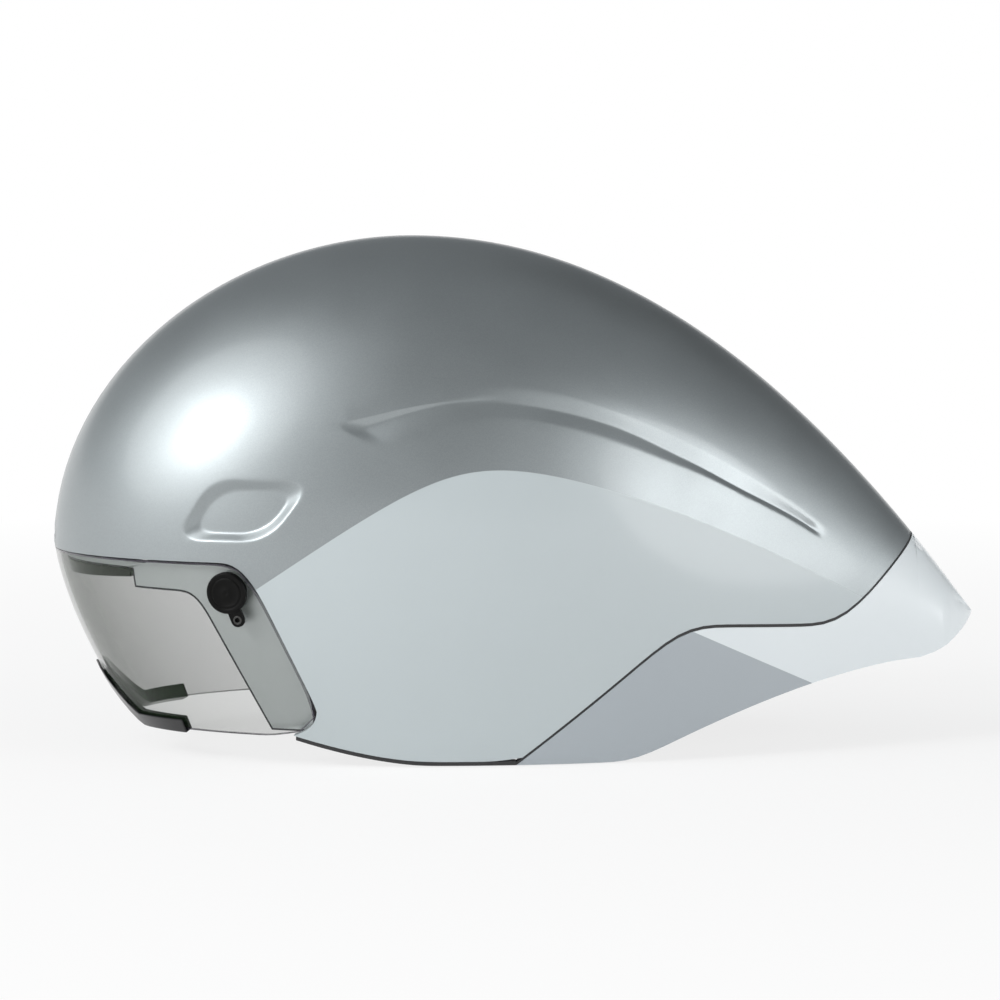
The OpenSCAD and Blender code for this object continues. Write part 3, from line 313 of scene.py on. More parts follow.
def lens_plastic(visor):
    """Clear polycarbonate, lightly smoked, that looks denser along its surface."""
    made = Finish("lens_plastic", Base_Color=visor.smoke, Coat_Weight=0.15, Coat_Roughness=0.02, IOR=1.45)
    facing = made.add("LayerWeight", {"Blend": 0.35}).outputs["Facing"]
    made.give("Alpha", made.between(facing, 0, 1, visor.density, visor.edge_density))
    made.give("Roughness", made.spread(made.noise(0.02, 3), 0.03, 0.06))
    made.give("Normal", made.bump(made.noise(0.03, 1), 0.02 * MM))
    made.material.surface_render_method = "BLENDED"
    return made.material


def edge_and_shade_tint(name, colour, alpha):
    """The dark rim colour of the lens and seat: the look of the lens's dark cut edge, with painted shade
    along both rims.
    """
    made = Finish(name, Coat_Weight=0.5, Coat_Roughness=0.1)
    flow = made.noise(0.01, 3)
    made.give("Base Color", made.tones(flow, colour, 0.8, 1.3))
    made.give("Alpha", made.spread(flow, alpha - 0.08, alpha))
    made.give("Roughness", made.spread(flow, 0.2, 0.35))
    return made.material


def gloss_moulding(name, colour, low=0.08, high=0.16, coat=0.6):
    """Polished black moulding with faint flow marks."""
    made = Finish(name, Coat_Weight=coat, Coat_Roughness=0.05, Specular_IOR_Level=0.3)
    flow = made.noise(0.012, 4)
    made.give("Base Color", made.tones(flow, colour, 0.8, 1.6))
    made.give("Roughness", made.spread(flow, low, high))
    made.give("Normal", made.bump(made.noise(2.5 * MM, 2), 0.03 * MM))
    return made.material


def rubber_matt(name, colour):
    """Matt extruded rubber."""
    made = Finish(name, Sheen_Weight=0.15, Sheen_Roughness=0.5)
    dust = made.noise(1.2 * MM, 4)
    made.give("Base Color", made.tones(dust, colour, 0.8, 1.5))
    made.give("Roughness", made.spread(dust, 0.55, 0.7))
    made.give("Normal", made.bump(made.noise(0.3 * MM, 3), 0.02 * MM))
    return made.material


def moulded_nylon(name, colour, grain, rough=0.46, gloss=0.5):
    """Moulded nylon with a fine spark-eroded grain and paler, rubbed edges."""
    made = Finish(name, Specular_IOR_Level=gloss)
    grit = made.noise(grain, 3)
    patch = made.noise(0.015, 3)
    tone = made.tones(patch, colour, 0.85, 1.25)
    worn = made.between(made.add("NewGeometry").outputs["Pointiness"], 0.53, 0.6)
    made.give("Base Color", made.blend(worn, tone, shade(colour, 2.2)))
    made.give("Roughness", made.spread(patch, rough - 0.05, rough + 0.07))
    made.give("Normal", made.bump(grit, 0.03 * MM))
    return made.material


def brushed_steel(colour):
    """Nickel plate with fine turned marks."""
    made = Finish("brushed_steel", Metallic=1.0)
    streak = made.noise(0.4 * MM, 3, made.add("Mapping", {0: made.where, "Scale": (1, 1, 8)}).outputs[0])
    made.give("Base Color", made.tones(streak, colour, 0.85, 1.1))
    made.give("Roughness", made.spread(streak, 0.22, 0.36))
    made.give("Normal", made.bump(streak, 0.01 * MM))
    return made.material


def bead_foam(lining):
    """Fused foam beads: flat cells with sunk joints, each of a slightly different tone."""
    made = Finish("bead_foam")
    warp = made.add("TexNoise", {"Vector": made.where, "Scale": 140, "Detail": 2.0}).outputs["Color"]
    bent = made.add("MixRGB", {0: 0.003, 1: made.where, 2: warp}).outputs[0]
    joint = made.cells(lining.bead, "DISTANCE_TO_EDGE", bent).outputs["Distance"]
    tone = made.add("SeparateColor", {0: made.cells(lining.bead, "F1", bent).outputs["Color"]}).outputs[0]
    edge = made.between(joint, 0.0, 0.12)
    face = made.tones(tone, lining.foam, 0.75, 1.5)
    made.give("Base Color", made.blend(edge, shade(lining.foam, 0.55), face))
    made.give("Roughness", made.between(tone, 0, 1, 0.5, 0.7))
    made.give("Normal", made.bump(made.between(joint, 0.0, 0.25), 0.09 * MM))
    return made.material


def knit_fabric(lining):
    """Brushed knit: rows of small loops with a soft nap."""
    made = Finish("knit_fabric", Sheen_Weight=0.35, Sheen_Roughness=0.45, Roughness=0.85)
    pitch = 2 * math.pi / lining.knit_pitch
    x, y, z = made.axes()
    waves = [made.sum("SINE", made.sum("MULTIPLY", axis, pitch)) for axis in (x, y, z)]
    crossed = [made.sum("MULTIPLY", a, b) for a, b in zip(waves, waves[1:] + waves[:1])]
    loops = made.sum("ADD", made.sum("ADD", crossed[0], crossed[1]), crossed[2])
    loops = made.between(loops, -1.5, 1.5)
    fuzz = made.noise(0.5 * MM, 4)
    tone = made.tones(loops, lining.knit, 0.55, 1.6)
    nap = made.between(fuzz, 0.4, 0.8, 0, 0.35)
    made.give("Base Color", made.blend(nap, tone, shade(lining.knit, 3.0)))
    made.give("Normal", made.bump(made.sum("ADD", loops, fuzz), 0.12 * MM))
    return made.material


def woven_webbing(lining):
    """Flat polyester webbing: ribs across and a herringbone twill, along its own UV map."""
    made = Finish("woven_webbing", Sheen_Weight=0.25, Sheen_Roughness=0.4, Roughness=0.7)
    strap = made.add("UVMap", uv_map="strap").outputs[0]
    across, along, _ = made.axes(strap)
    herringbone, thread = 2.5 * MM, 0.55 * MM
    tooth = made.sum("PINGPONG", across, herringbone)
    slant = made.sum("ADD", along, made.sum("MULTIPLY", tooth, 0.8))
    ribs = made.sum("SINE", made.sum("MULTIPLY", slant, 2 * math.pi / lining.rib))
    threads = made.sum("SINE", made.sum("MULTIPLY", across, 2 * math.pi / thread))
    weave = made.between(made.sum("MULTIPLY_ADD", threads, 0.5, ribs), -1.5, 1.5)
    fuzz = made.noise(0.8 * MM, 3)
    tone = made.tones(weave, lining.webbing, 0.5, 1.9)
    worn = made.between(fuzz, 0.4, 0.9, 0, 0.3)
    made.give("Base Color", made.blend(worn, tone, shade(lining.webbing, 2.4)))
    made.give("Normal", made.bump(weave, 0.14 * MM))
    return made.material


def stage_paper(colour, glow):
    """Matt pale paper that camera and gloss see nearly white, with the helmet's shadow kept."""
    made = Finish("stage_paper", Base_Color=colour, Roughness=0.9)
    ray = made.add("LightPath").outputs
    seen = made.sum("MAXIMUM", ray["Is Camera Ray"], ray["Is Glossy Ray"])
    seen = made.sum("MAXIMUM", seen, ray["Is Transmission Ray"])
    far = made.add("VectorMath", {0: made.where}, operation="LENGTH").outputs["Value"]
    share_seen = made.sum("MULTIPLY", seen, made.between(far, 0.15, 1.1, glow, 1.0))
    white = made.add("Emission", {"Color": (1, 1, 1), "Strength": 1.0}).outputs[0]
    mixed = made.add("MixShader", {0: share_seen, 1: made.shader.outputs[0], 2: white}).outputs[0]
    made.tree.links.new(mixed, made.tree.nodes["Material Output"].inputs["Surface"])
    return made.material


# Mesh helpers

class OpenMesh:
    """A mesh opened as a bmesh for a with block, and written back at the block's end."""

    def __init__(self, mesh):
        self.mesh = mesh

    def __enter__(self):
        self.shape = bmesh.new()
        self.shape.from_mesh(self.mesh)
        return self.shape

    def __exit__(self, *problem):
        self.shape.to_mesh(self.mesh)
        self.shape.free()


def new_piece(name, mesh):
    piece = bpy.data.objects.new(name, mesh)
    bpy.context.scene.collection.objects.link(piece)
    return piece


def closed_copy(node, flat=0.0):
    """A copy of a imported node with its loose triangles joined, and with flat faces made one where asked."""
    mesh = frame["nodes"][node].data.copy()
    mesh.name = node + "_mesh"
    with OpenMesh(mesh) as shape:
        bmesh.ops.remove_doubles(shape, verts=shape.verts, dist=2e-6)
        if flat:
            bmesh.ops.dissolve_limit(shape, verts=shape.verts, edges=shape.edges,
                                     angle_limit=math.radians(flat))
        else:
            bmesh.ops.join_triangles(shape, faces=shape.faces, angle_face_threshold=math.radians(25),
                                     angle_shape_threshold=math.radians(60))
    return mesh


def soften(piece, angle):
    """Smooth shading that keeps the edges sharper than the angle."""
    piece.data.shade_smooth()
    piece.data.set_sharp_from_angle(angle=math.radians(angle))


def stand_for(piece, material, *nodes):
    """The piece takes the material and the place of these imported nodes, on their body."""
    piece.data.materials.clear()
    piece.data.materials.append(material)
    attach(piece, BODY_OF[nodes[0]])
    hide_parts(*nodes)
    return piece


def smooth_out(piece):
    """Adds one level of subdivision."""
    rounder = piece.modifiers.new("smooth", "SUBSURF")
    rounder.levels = 1
    rounder.render_levels = 1


def dress_surface(node, material, curved=True):
    """Stands a smoothly curved copy in a node's place, with its real edges kept."""
    sharp = 24.0
    mesh = closed_copy(node)
    piece = new_piece(node + "_skin", mesh)
    if curved:
        with OpenMesh(mesh) as shape:
            crease = shape.edges.layers.float.new("crease_edge")
            for edge in shape.edges:
                if len(edge.link_faces) == 2 and edge.calc_face_angle() > math.radians(sharp):
                    edge[crease] = 1.0
        smooth_out(piece)
    soften(piece, sharp)
    return stand_for(piece, material, node)


def dress_moulding(node, material, edge):
    """Stands a copy with rounded edges in a node's place."""
    sharp = 38
    piece = new_piece(node + "_moulding", closed_copy(node, flat=1.0))
    rounder = piece.modifiers.new("edges", "BEVEL")
    rounder.width = edge
    rounder.segments = 2
    rounder.limit_method = "ANGLE"
    rounder.angle_limit = math.radians(sharp)
    rounder.use_clamp_overlap = True
    rounder.harden_normals = True
    soften(piece, sharp)
    return stand_for(piece, material, node)


def turned(name, profile, centre, out):
    """A piece turned from a profile of radius and height, in millimetres, round an axis."""
    mesh = bpy.data.meshes.new(name)
    with OpenMesh(mesh) as shape:
        verts = [shape.verts.new((r * MM, 0, h * MM)) for r, h in profile]
        edges = [shape.edges.new(pair) for pair in zip(verts, verts[1:])]
        bmesh.ops.spin(shape, geom=verts + edges, cent=(0, 0, 0), axis=(0, 0, 1), dvec=(0, 0, 0),
                       angle=2 * math.pi, steps=56, use_merge=True)
        bmesh.ops.remove_doubles(shape, verts=shape.verts, dist=1e-6)
        bmesh.ops.recalc_face_normals(shape, faces=shape.faces)
        shape.transform(Matrix.Translation(centre) @ out.to_track_quat("Z", "Y").to_matrix().to_4x4())
    return new_piece(name, mesh)


# The surface that the shells follow, and the relief pressed into it, in millimetres

NOSE_X, CROWN_X, WIDE_X, TAIL_X = -188, -43, -30, 188
CROWN_Z, BROW_Z, TIP_Z = 205, 82, 50
HALF_WIDTH, TIP_HALF_WIDTH = 102, 14
WIDE_FALL, TUCK, ROUNDNESS = 42, 0.16, 2.25  # fall of the widest line, draw-in below it, section's power
CREASE_ENDS = (-40, 120)
SCOOP_ENDS = (-80, -5)
POCKET_WALL, POCKET_CORNER, CREASE_CORNER = 3.0, 0.35, 0.4


def clamped(t):
    return min(1.0, max(0.0, t))


def ease(t):
    t = clamped(t)
    return t * t * (3 - 2 * t)


def round_off(t, power):
    return (1 - clamped(t) ** power) ** (1 / power)


def soft_max(a, b, reach):
    lap = max(reach - abs(a - b), 0) / reach
    return max(a, b) + lap ** 2 * reach / 4


def crown_line(x):
    if x < CROWN_X:
        return BROW_Z + (CROWN_Z - BROW_Z) * round_off((CROWN_X - x) / (CROWN_X - NOSE_X), 1.94)
    return CROWN_Z - (CROWN_Z - TIP_Z) * ((x - CROWN_X) / (TAIL_X - CROWN_X)) ** 2.05


def half_plan(x, z):
    """Half width of the body at its widest line, seen from above."""
    if x < WIDE_X:
        front = NOSE_X + 0.051 * max(0, BROW_Z - z) ** 1.5
        return HALF_WIDTH * round_off((WIDE_X - x) / (WIDE_X - front), 2.15)
    run = (x - WIDE_X) / (TAIL_X - WIDE_X)
    return TIP_HALF_WIDTH + (HALF_WIDTH - TIP_HALF_WIDTH) * (1 - clamped(run) ** 1.9) ** 1.25


def body_reach(p):
    """1 on the body surface and less inside it."""
    wide = BROW_Z - WIDE_FALL * clamped((p.x - NOSE_X) / (TAIL_X - NOSE_X)) ** 1.5
    half = max(half_plan(p.x, min(p.z, wide)), 0.01)
    if p.z <= wide:
        return abs(p.y) / (half * (1 - TUCK * ((wide - p.z) / BROW_Z) ** 2))
    rise = (p.z - wide) / max(crown_line(p.x) - wide, 0.01)
    return ((abs(p.y) / half) ** ROUNDNESS + rise ** ROUNDNESS) ** (1 / ROUNDNESS)


def body_foot(p):
    """The nearest point of the body surface, and the way out of it there."""
    step = 0.1
    steps = [Vector(s) for s in ((step, 0, 0), (0, step, 0), (0, 0, step))]
    slope = Vector([(body_reach(p + s) - body_reach(p - s)) / (2 * step) for s in steps])
    if slope.length < 1e-6:
        return p, Vector((-1, 0, 0))
    return p + slope * (1 - body_reach(p)) / slope.length_squared, slope.normalized()


def smooth_ramp(t, width, corner):
    """From 0 to 1 over the width, straight but for small rounds at both ends."""
    def bend(u):
        return (u + math.sqrt(u * u + corner * corner)) / 2
    return (bend(t) - bend(t - width)) / width


def pocket_in(x, z):
    """How far inside the pocket's rim a point lies."""
    ends = soft_max((x + 90 - 0.75 * (z - 108)) * 0.8, (0.6 * (z - 92) - (x + 138)) * 0.86, 7)
    return -soft_max(soft_max(z - 112, 88.5 - z, 7), ends, 9)


def groove_below(x, z):
    """How far below the crease's upper edge a point lies."""
    t = x + 19
    return 148 - (0.0083 * t ** 1.8 if t > 0 else 0.12 * (-t) ** 1.18) - z


def scoop_below(x, z):
    """How far below the upper edge of the scoop at the crease's front end a point lies."""
    return 144.5 - 0.028 * x - 0.0021 * x * x - z


def scoop_in(x, z):
    """How far inside the scoop's outline a point lies."""
    return -soft_max(-scoop_below(x, z), 0.89 * (93.2 - 0.52 * x - z), 4)


def relief(p, paint):
    """Depth of the blind pocket and the long crease under the body surface."""
    depth = 0
    inside = pocket_in(p.x, p.z)
    if inside > -4:
        depth = paint.pocket_depth / MM * smooth_ramp(inside, POCKET_WALL, POCKET_CORNER)
    front, rear = CREASE_ENDS
    if front < p.x < rear:
        below = 0.9 * groove_below(p.x, p.z)
        wall = 2.2 + 4 * ease((122 - p.x) / 45) - 1.2 * ease((60 - p.x) / 30)
        back = 2.0 + 3.4 * ease((85 - p.x) / 55)
        run = ease((p.x - front) / 55) * ease((rear - p.x) / 6)
        groove = smooth_ramp(below, wall, CREASE_CORNER) - smooth_ramp(below - wall, back, CREASE_CORNER)
        depth += paint.crease_depth / MM * run * groove
    front, rear = SCOOP_ENDS
    if front < p.x < rear:
        wall = 0.9 + 2.6 * ease((-28 - p.x) / 42)
        floor = 1 - ease((scoop_below(p.x, p.z) - wall) / 11)
        sink = 0.4 * wall * ease((rear - p.x) / 20) * floor
        depth += sink * smooth_ramp(scoop_in(p.x, p.z), wall, CREASE_CORNER)
    return depth


def near_relief(p):
    """Whether a point lies near the pocket's wall or the crease, where the mesh is cut finer."""
    groove = CREASE_ENDS[0] < p.x < CREASE_ENDS[1] + 1 and -1.5 < groove_below(p.x, p.z) < 14
    scoop = SCOOP_ENDS[0] < p.x < SCOOP_ENDS[1] and -1.5 < scoop_in(p.x, p.z) < 10
    return groove or scoop or -3 < pocket_in(p.x, p.z) < 7


def outside_seats(shape, reach):
    """For each outer point within reach of the body surface, its place on that and the way out there."""
    shape.normal_update()
    seats = {}
    for vertex in shape.verts:
        foot, out = body_foot(vertex.co / MM)
        near = (vertex.co / MM - foot).length < reach
        if near and vertex.normal.dot(out) > 0.15 and vertex.co.x > (NOSE_X + 0.5) * MM:
            seats[vertex] = body_foot(foot)
    return seats


def press_relief(piece, paint, reach):
    """Lays a shell's outside on the body surface, cuts it finer along the relief and presses that in."""
    with OpenMesh(piece.data) as shape:
        seats = outside_seats(shape, reach)
        skin = [f for f in shape.faces if all(v in seats for v in f.verts)]
        edges = list({e for f in skin if near_relief(f.calc_center_median() / MM) for e in f.edges})
        bmesh.ops.subdivide_edges(shape, edges=edges, cuts=4, use_grid_fill=True)
        for vertex, (foot, out) in outside_seats(shape, reach).items():
            vertex.co = (foot - out * relief(foot, paint)) * MM


def shade_line_edges(piece, material, width):
    """Gives a sheet's rim, and a line of this width beside it on the outside, a material of their own: a dark
    line of painted shade along the edge.
    """
    steep = 0.5
    bake(piece)
    piece.data.materials.append(material)
    with OpenMesh(piece.data) as shape:
        away = {f: f.calc_center_median() - HEAD for f in shape.faces}
        facing = {f: f.normal.dot(Vector((way.x, way.y, 0)).normalized()) for f, way in away.items()}
        outside = [f for f, dot in facing.items() if dot > steep]
        for face, dot in facing.items():
            if abs(dot) <= steep:
                face.material_index = 1
        made = bmesh.ops.inset_region(shape, faces=outside, thickness=width, use_even_offset=True,
                                      use_boundary=True)
        for face in made["faces"]:
            face.material_index = 1
            face.smooth = True
    soften(piece, 40)


# The head cavity: a half ellipsoid with long sides below its centre

HEAD = Vector((-56, 0, 78)) * MM
HEAD_HALF = Vector((102, 82, 102)) * MM
HEAD_LOW = 190 * MM


def head_scale(offset):
    height = HEAD_HALF.z if offset.z > 0 else HEAD_LOW
    return Vector((offset.x / HEAD_HALF.x, offset.y / HEAD_HALF.y, offset.z / height)), height


def on_head(point, depth):
    offset = point - HEAD
    scaled, _ = head_scale(offset)
    return HEAD + offset / scaled.length - depth * offset.normalized()


def head_out(point):
    scaled, height = head_scale(point - HEAD)
    return Vector((scaled.x / HEAD_HALF.x, scaled.y / HEAD_HALF.y, scaled.z / height)).normalized()


def curve_through(points, steps):
    """Points on a smooth curve through the given ones."""
    made = []
    for i in range(len(points) - 1):
        a, b = points[max(i - 1, 0)], points[i]
        c, d = points[i + 1], points[min(i + 2, len(points) - 1)]
        for k in range(steps):
            t = k / steps
            made.append(0.5 * (2 * b + (c - a) * t + (2 * a - 5 * b + 4 * c - d) * t ** 2
                               + (3 * b - a - 3 * c + d) * t ** 3))
    return made + [points[-1]]


# Soft goods

def puff_up(piece, lining):
    """Cloth over the filling: a fine mesh that swells a little and keeps near its foam."""
    remesh = piece.modifiers.new("cells", "REMESH")
    remesh.mode = "VOXEL"
    remesh.voxel_size = lining.voxel
    bake(piece)
    start = [v.co.copy() for v in piece.data.vertices]
    cloth = piece.modifiers.new("cloth", "CLOTH")
    cloth.settings.use_pressure = True
    cloth.settings.uniform_pressure_force = lining.pressure
    cloth.settings.effector_weights.gravity = 0
    cloth.settings.quality = 4
    for step in range(1, lining.frames + 1):
        bpy.context.scene.frame_set(step)
    bake(piece)
    bpy.context.scene.frame_set(1)
    for vertex, home in zip(piece.data.vertices, start):
        move = vertex.co - home
        if move.length > lining.puff:
            vertex.co = home + move.normalized() * lining.puff


def bake(piece):
    """Makes the piece's modifiers part of its mesh."""
    shown = piece.evaluated_get(bpy.context.evaluated_depsgraph_get())
    mesh = bpy.data.meshes.new_from_object(shown)
    piece.modifiers.clear()
    old = piece.data
    piece.data = mesh
    bpy.data.meshes.remove(old)


def head_angles(point):
    """How far round over the head a point lies, and how far to its side, in degrees."""
    offset = (point - HEAD).normalized()
    return math.degrees(math.atan2(offset.z, -offset.x)) % 360, math.degrees(math.asin(offset.y))


def sew_channels(piece, fronts, sides, depth, width):
    """Sinks stitched channels into the side of a pad that meets the head, and keeps a wall under them."""
    thick, keep = 1.6 * MM, 1.4 * MM
    for vertex in piece.data.vertices:
        front, side = head_angles(vertex.co)
        near = [abs(front - f) for f in fronts] + [abs(side - s) for s in sides]
        sink = depth * math.exp(-(min(near) / width) ** 2) if near else 0
        wall = (on_head(vertex.co, 0) - vertex.co).length
        if wall > thick:
            vertex.co += (vertex.co - HEAD).normalized() * min(sink, wall - keep)


def sew_pad(node, material, lining, fronts=(), sides=()):
    piece = new_piece(node + "_cushion", closed_copy(node))
    puff_up(piece, lining)
    sew_channels(piece, fronts, sides, depth=1.6 * MM, width=1.0)
    relax = piece.modifiers.new("ease", "SMOOTH")
    relax.factor = 0.4
    relax.iterations = 1
    smooth_out(piece)
    bake(piece)
    piece.data.shade_smooth()
    stand_for(piece, material, node)


def weave_strap(name, path, outs, width, thickness, material, node):
    """A flat woven strap: a grid laid along a path, given its thickness, with its own UV map in metres."""
    rows = len(path) - 1
    run = [0.0]
    for a, b in zip(path, path[1:]):
        run.append(run[-1] + (b - a).length)
    mesh = bpy.data.meshes.new(name)
    with OpenMesh(mesh) as shape:
        bmesh.ops.create_grid(shape, x_segments=6, y_segments=rows, size=0.5)
        uv = shape.loops.layers.uv.new("strap")
        place = {}
        for vertex in shape.verts:
            column = vertex.co.x + 0.5
            row = round((vertex.co.y + 0.5) * rows)
            along = (path[min(row + 1, rows)] - path[max(row - 1, 0)]).normalized()
            side = outs[row].cross(along).normalized()
            place[vertex] = (column * width, run[row])
            vertex.co = path[row] + side * (column - 0.5) * width
        for face in shape.faces:
            for loop in face.loops:
                loop[uv].uv = place[loop.vert]
    piece = new_piece(name, mesh)
    thicken = piece.modifiers.new("thickness", "SOLIDIFY")
    thicken.thickness = thickness
    thicken.offset = 0
    edges = piece.modifiers.new("selvedge", "BEVEL")
    edges.width = 0.35 * thickness
    edges.segments = 2
    edges.limit_method = "ANGLE"
    edges.angle_limit = math.radians(60)
    bake(piece)
    with OpenMesh(piece.data) as shape:
        bmesh.ops.recalc_face_normals(shape, faces=shape.faces)
    soften(piece, 50)
    stand_for(piece, material, node)


def mirrored(point, side):
    return Vector((point.x, point.y * side, point.z))


# Profiles turned for a knob, as radius and height over its face, its ear and the ear's hole, in millimetres

KNOB_FACE = [(0, 0.02), (0.5, 0.04), (0.9, 0.22), (1.5, 0.26), (1.9, 0.05), (4.9, 0.05), (5.2, 0.24),
             (5.7, 0.24), (6.0, 0.03), (6.1, -0.1), (0, -0.1)]
EAR_RING = [(1.05, -0.1), (1.05, 0.15), (1.25, 0.26), (1.6, 0.24), (1.75, 0.05), (1.75, -0.1), (1.05, -0.1)]
EAR_PIT = [(0, 0.1), (0.96, 0.1), (0.96, -0.2), (0, -0.2)]
EAR_HOLE = Vector((-115.81, -87.38, 57.81)) * MM


# Operators

class HELMET_OT_lacquer_shell(bpy.types.Operator):
    """Lacquers the two shells and fits the rubber between and below them."""

    bl_idname = "helmet.lacquer_shell"
    bl_label = "Lacquer the shells"

    def execute(self, context):
        paint = context.scene.helmet_paint
        rubber = rubber_matt("edge_rubber", context.scene.helmet_visor.rubber)
        self.lacquer("outer_shell", shell_lacquer(paint), paint, reach=9.0, sharp=40)
        self.lacquer("tail_shell", tail_lacquer(paint), paint, reach=0.7, sharp=16)
        for node in ("seam_gasket", "lower_trim_left", "lower_trim_right"):
            dress_surface(node, rubber)
        return {"FINISHED"}

    def lacquer(self, node, material, paint, reach, sharp):
        """A shell laid on the body surface: only what lies within reach of it, in millimetres, moves."""
        shell = dress_surface(node, material)
        bake(shell)
        press_relief(shell, paint, reach)
        soften(shell, sharp)


class HELMET_OT_dress_visor(bpy.types.Operator):
    """Finishes the lens, its seat, the brow gasket and the nose trim."""

    bl_idname = "helmet.dress_visor"
    bl_label = "Dress the visor"

    def execute(self, context):
        visor = context.scene.helmet_visor
        seat = dress_surface("visor_seat", seat_satin(visor))
        # The seat's rim and a line beside it are painted dark: painted shade in the gap round the eyeport
        shade_line_edges(seat, edge_and_shade_tint("seat_edge_shade", visor.edge, 1.0), visor.edge_width)
        lens = dress_surface("visor_lens", lens_plastic(visor))
        # The lens's cut edge is dark, and a line beside it is painted dark too: painted shade along the
        # lens's edge
        shade_line_edges(lens, edge_and_shade_tint("lens_edge_and_shade", visor.edge, 0.7), 0.8 * visor.edge_width)
        dress_surface("brow_gasket", gloss_moulding("brow_moulding", visor.gloss))
        nose = gloss_moulding("nose_moulding", visor.nose, low=0.16, high=0.24, coat=0.2)
        dress_moulding("nose_trim", nose, visor.nose_round)
        return {"FINISHED"}


class HELMET_OT_fit_knobs(bpy.types.Operator):
    """Fits the magnetic knobs, their magnets and the keepers below the lens."""

    bl_idname = "helmet.fit_knobs"
    bl_label = "Fit the knobs"

    def execute(self, context):
        fittings = context.scene.helmet_fittings
        black = moulded_nylon("knob_satin", fittings.knob, fittings.grain, 0.4, 0.12)
        eyelet = moulded_nylon("eyelet_satin", shade(fittings.knob, 7), fittings.grain, 0.4)
        steel = brushed_steel(fittings.steel)
        for side, sign in (("left", 1), ("right", -1)):
            dress_moulding("knob_" + side, black, 0.6 * fittings.edge)
            self.face(side, sign, black, eyelet)
            dress_moulding("knob_magnet_" + side, steel, 0.4 * fittings.edge)
            dress_moulding("keeper_" + side, steel, 0.4 * fittings.edge)
        return {"FINISHED"}

    def face(self, side, sign, black, eyelet):
        """The raised ring and the pitted boss on a knob's face, and the eyelet round its ear's hole."""
        turn = next(j for j in frame["record"]["behaviour"]["joints"] if j["name"] == "left_knob_turn")
        centre = mirrored(Vector(turn["pos_m"]), sign)
        out = mirrored(-Vector(turn["axis"]), sign)
        ear = mirrored(EAR_HOLE, sign)
        rings = {
            "face": (black, centre + out * 2.25 * MM, KNOB_FACE),
            "eyelet": (eyelet, ear + out * 0.65 * MM, EAR_RING),
            "pit": (black, ear - out * 0.4 * MM, EAR_PIT),
        }
        for label, (material, place, profile) in rings.items():
            piece = turned(f"knob_{label}_{side}", profile, place, out)
            soften(piece, 50)
            piece.data.materials.append(material)
            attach(piece, BODY_OF["knob_" + side])


class HELMET_OT_mould_liner(bpy.types.Operator):
    """Moulds the two blocks of bead foam."""

    bl_idname = "helmet.mould_liner"
    bl_label = "Mould the liner"

    def execute(self, context):
        foam = bead_foam(context.scene.helmet_lining)
        for node in ("front_liner", "tail_liner"):
            dress_surface(node, foam)
        return {"FINISHED"}


class HELMET_OT_sew_pads(bpy.types.Operator):
    """Sews the padded lining of the cavity and of the cradle's wings."""

    bl_idname = "helmet.sew_pads"
    bl_label = "Sew the pads"

    def execute(self, context):
        lining = context.scene.helmet_lining
        knit = knit_fabric(lining)
        sew_pad("forehead_pad", knit, lining, sides=(-28, -14, 0, 14, 28))
        sew_pad("crown_pad", knit, lining, fronts=(53, 64, 75))
        for side, sign in (("left", -1), ("right", 1)):
            sew_pad("side_pad_" + side, knit, lining, fronts=(57, 73))
            sew_pad("rear_pad_" + side, knit, lining, sides=(26 * sign,))
            sew_pad("wing_pad_" + side, knit, lining)
        return {"FINISHED"}


class HELMET_OT_fit_cradle(bpy.types.Operator):
    """Finishes the cradle: rail, housing, dial, toothed bars, wings and arms."""

    bl_idname = "helmet.fit_cradle"
    bl_label = "Fit the cradle"

    def execute(self, context):
        fittings = context.scene.helmet_fittings
        nylon = moulded_nylon("cradle_nylon", fittings.nylon, fittings.grain)
        gear = moulded_nylon("gear_nylon", fittings.gear, fittings.grain, 0.36)
        grip = rubber_matt("dial_rubber", fittings.nylon)
        for node in ("height_rail", "case_front", "case_back"):
            dress_moulding(node, nylon, fittings.edge)
        for node in ("pinion", "rack_left", "rack_right"):
            dress_moulding(node, gear, 0.4 * fittings.edge)
        dress_moulding("dial", grip, 1.5 * fittings.edge)
        dress_surface("rail_anchor", nylon, curved=False)
        for side in ("left", "right"):
            dress_moulding("wing_" + side, nylon, fittings.edge)
            dress_moulding("side_arm_" + side, nylon, 0.7 * fittings.edge)
        return {"FINISHED"}


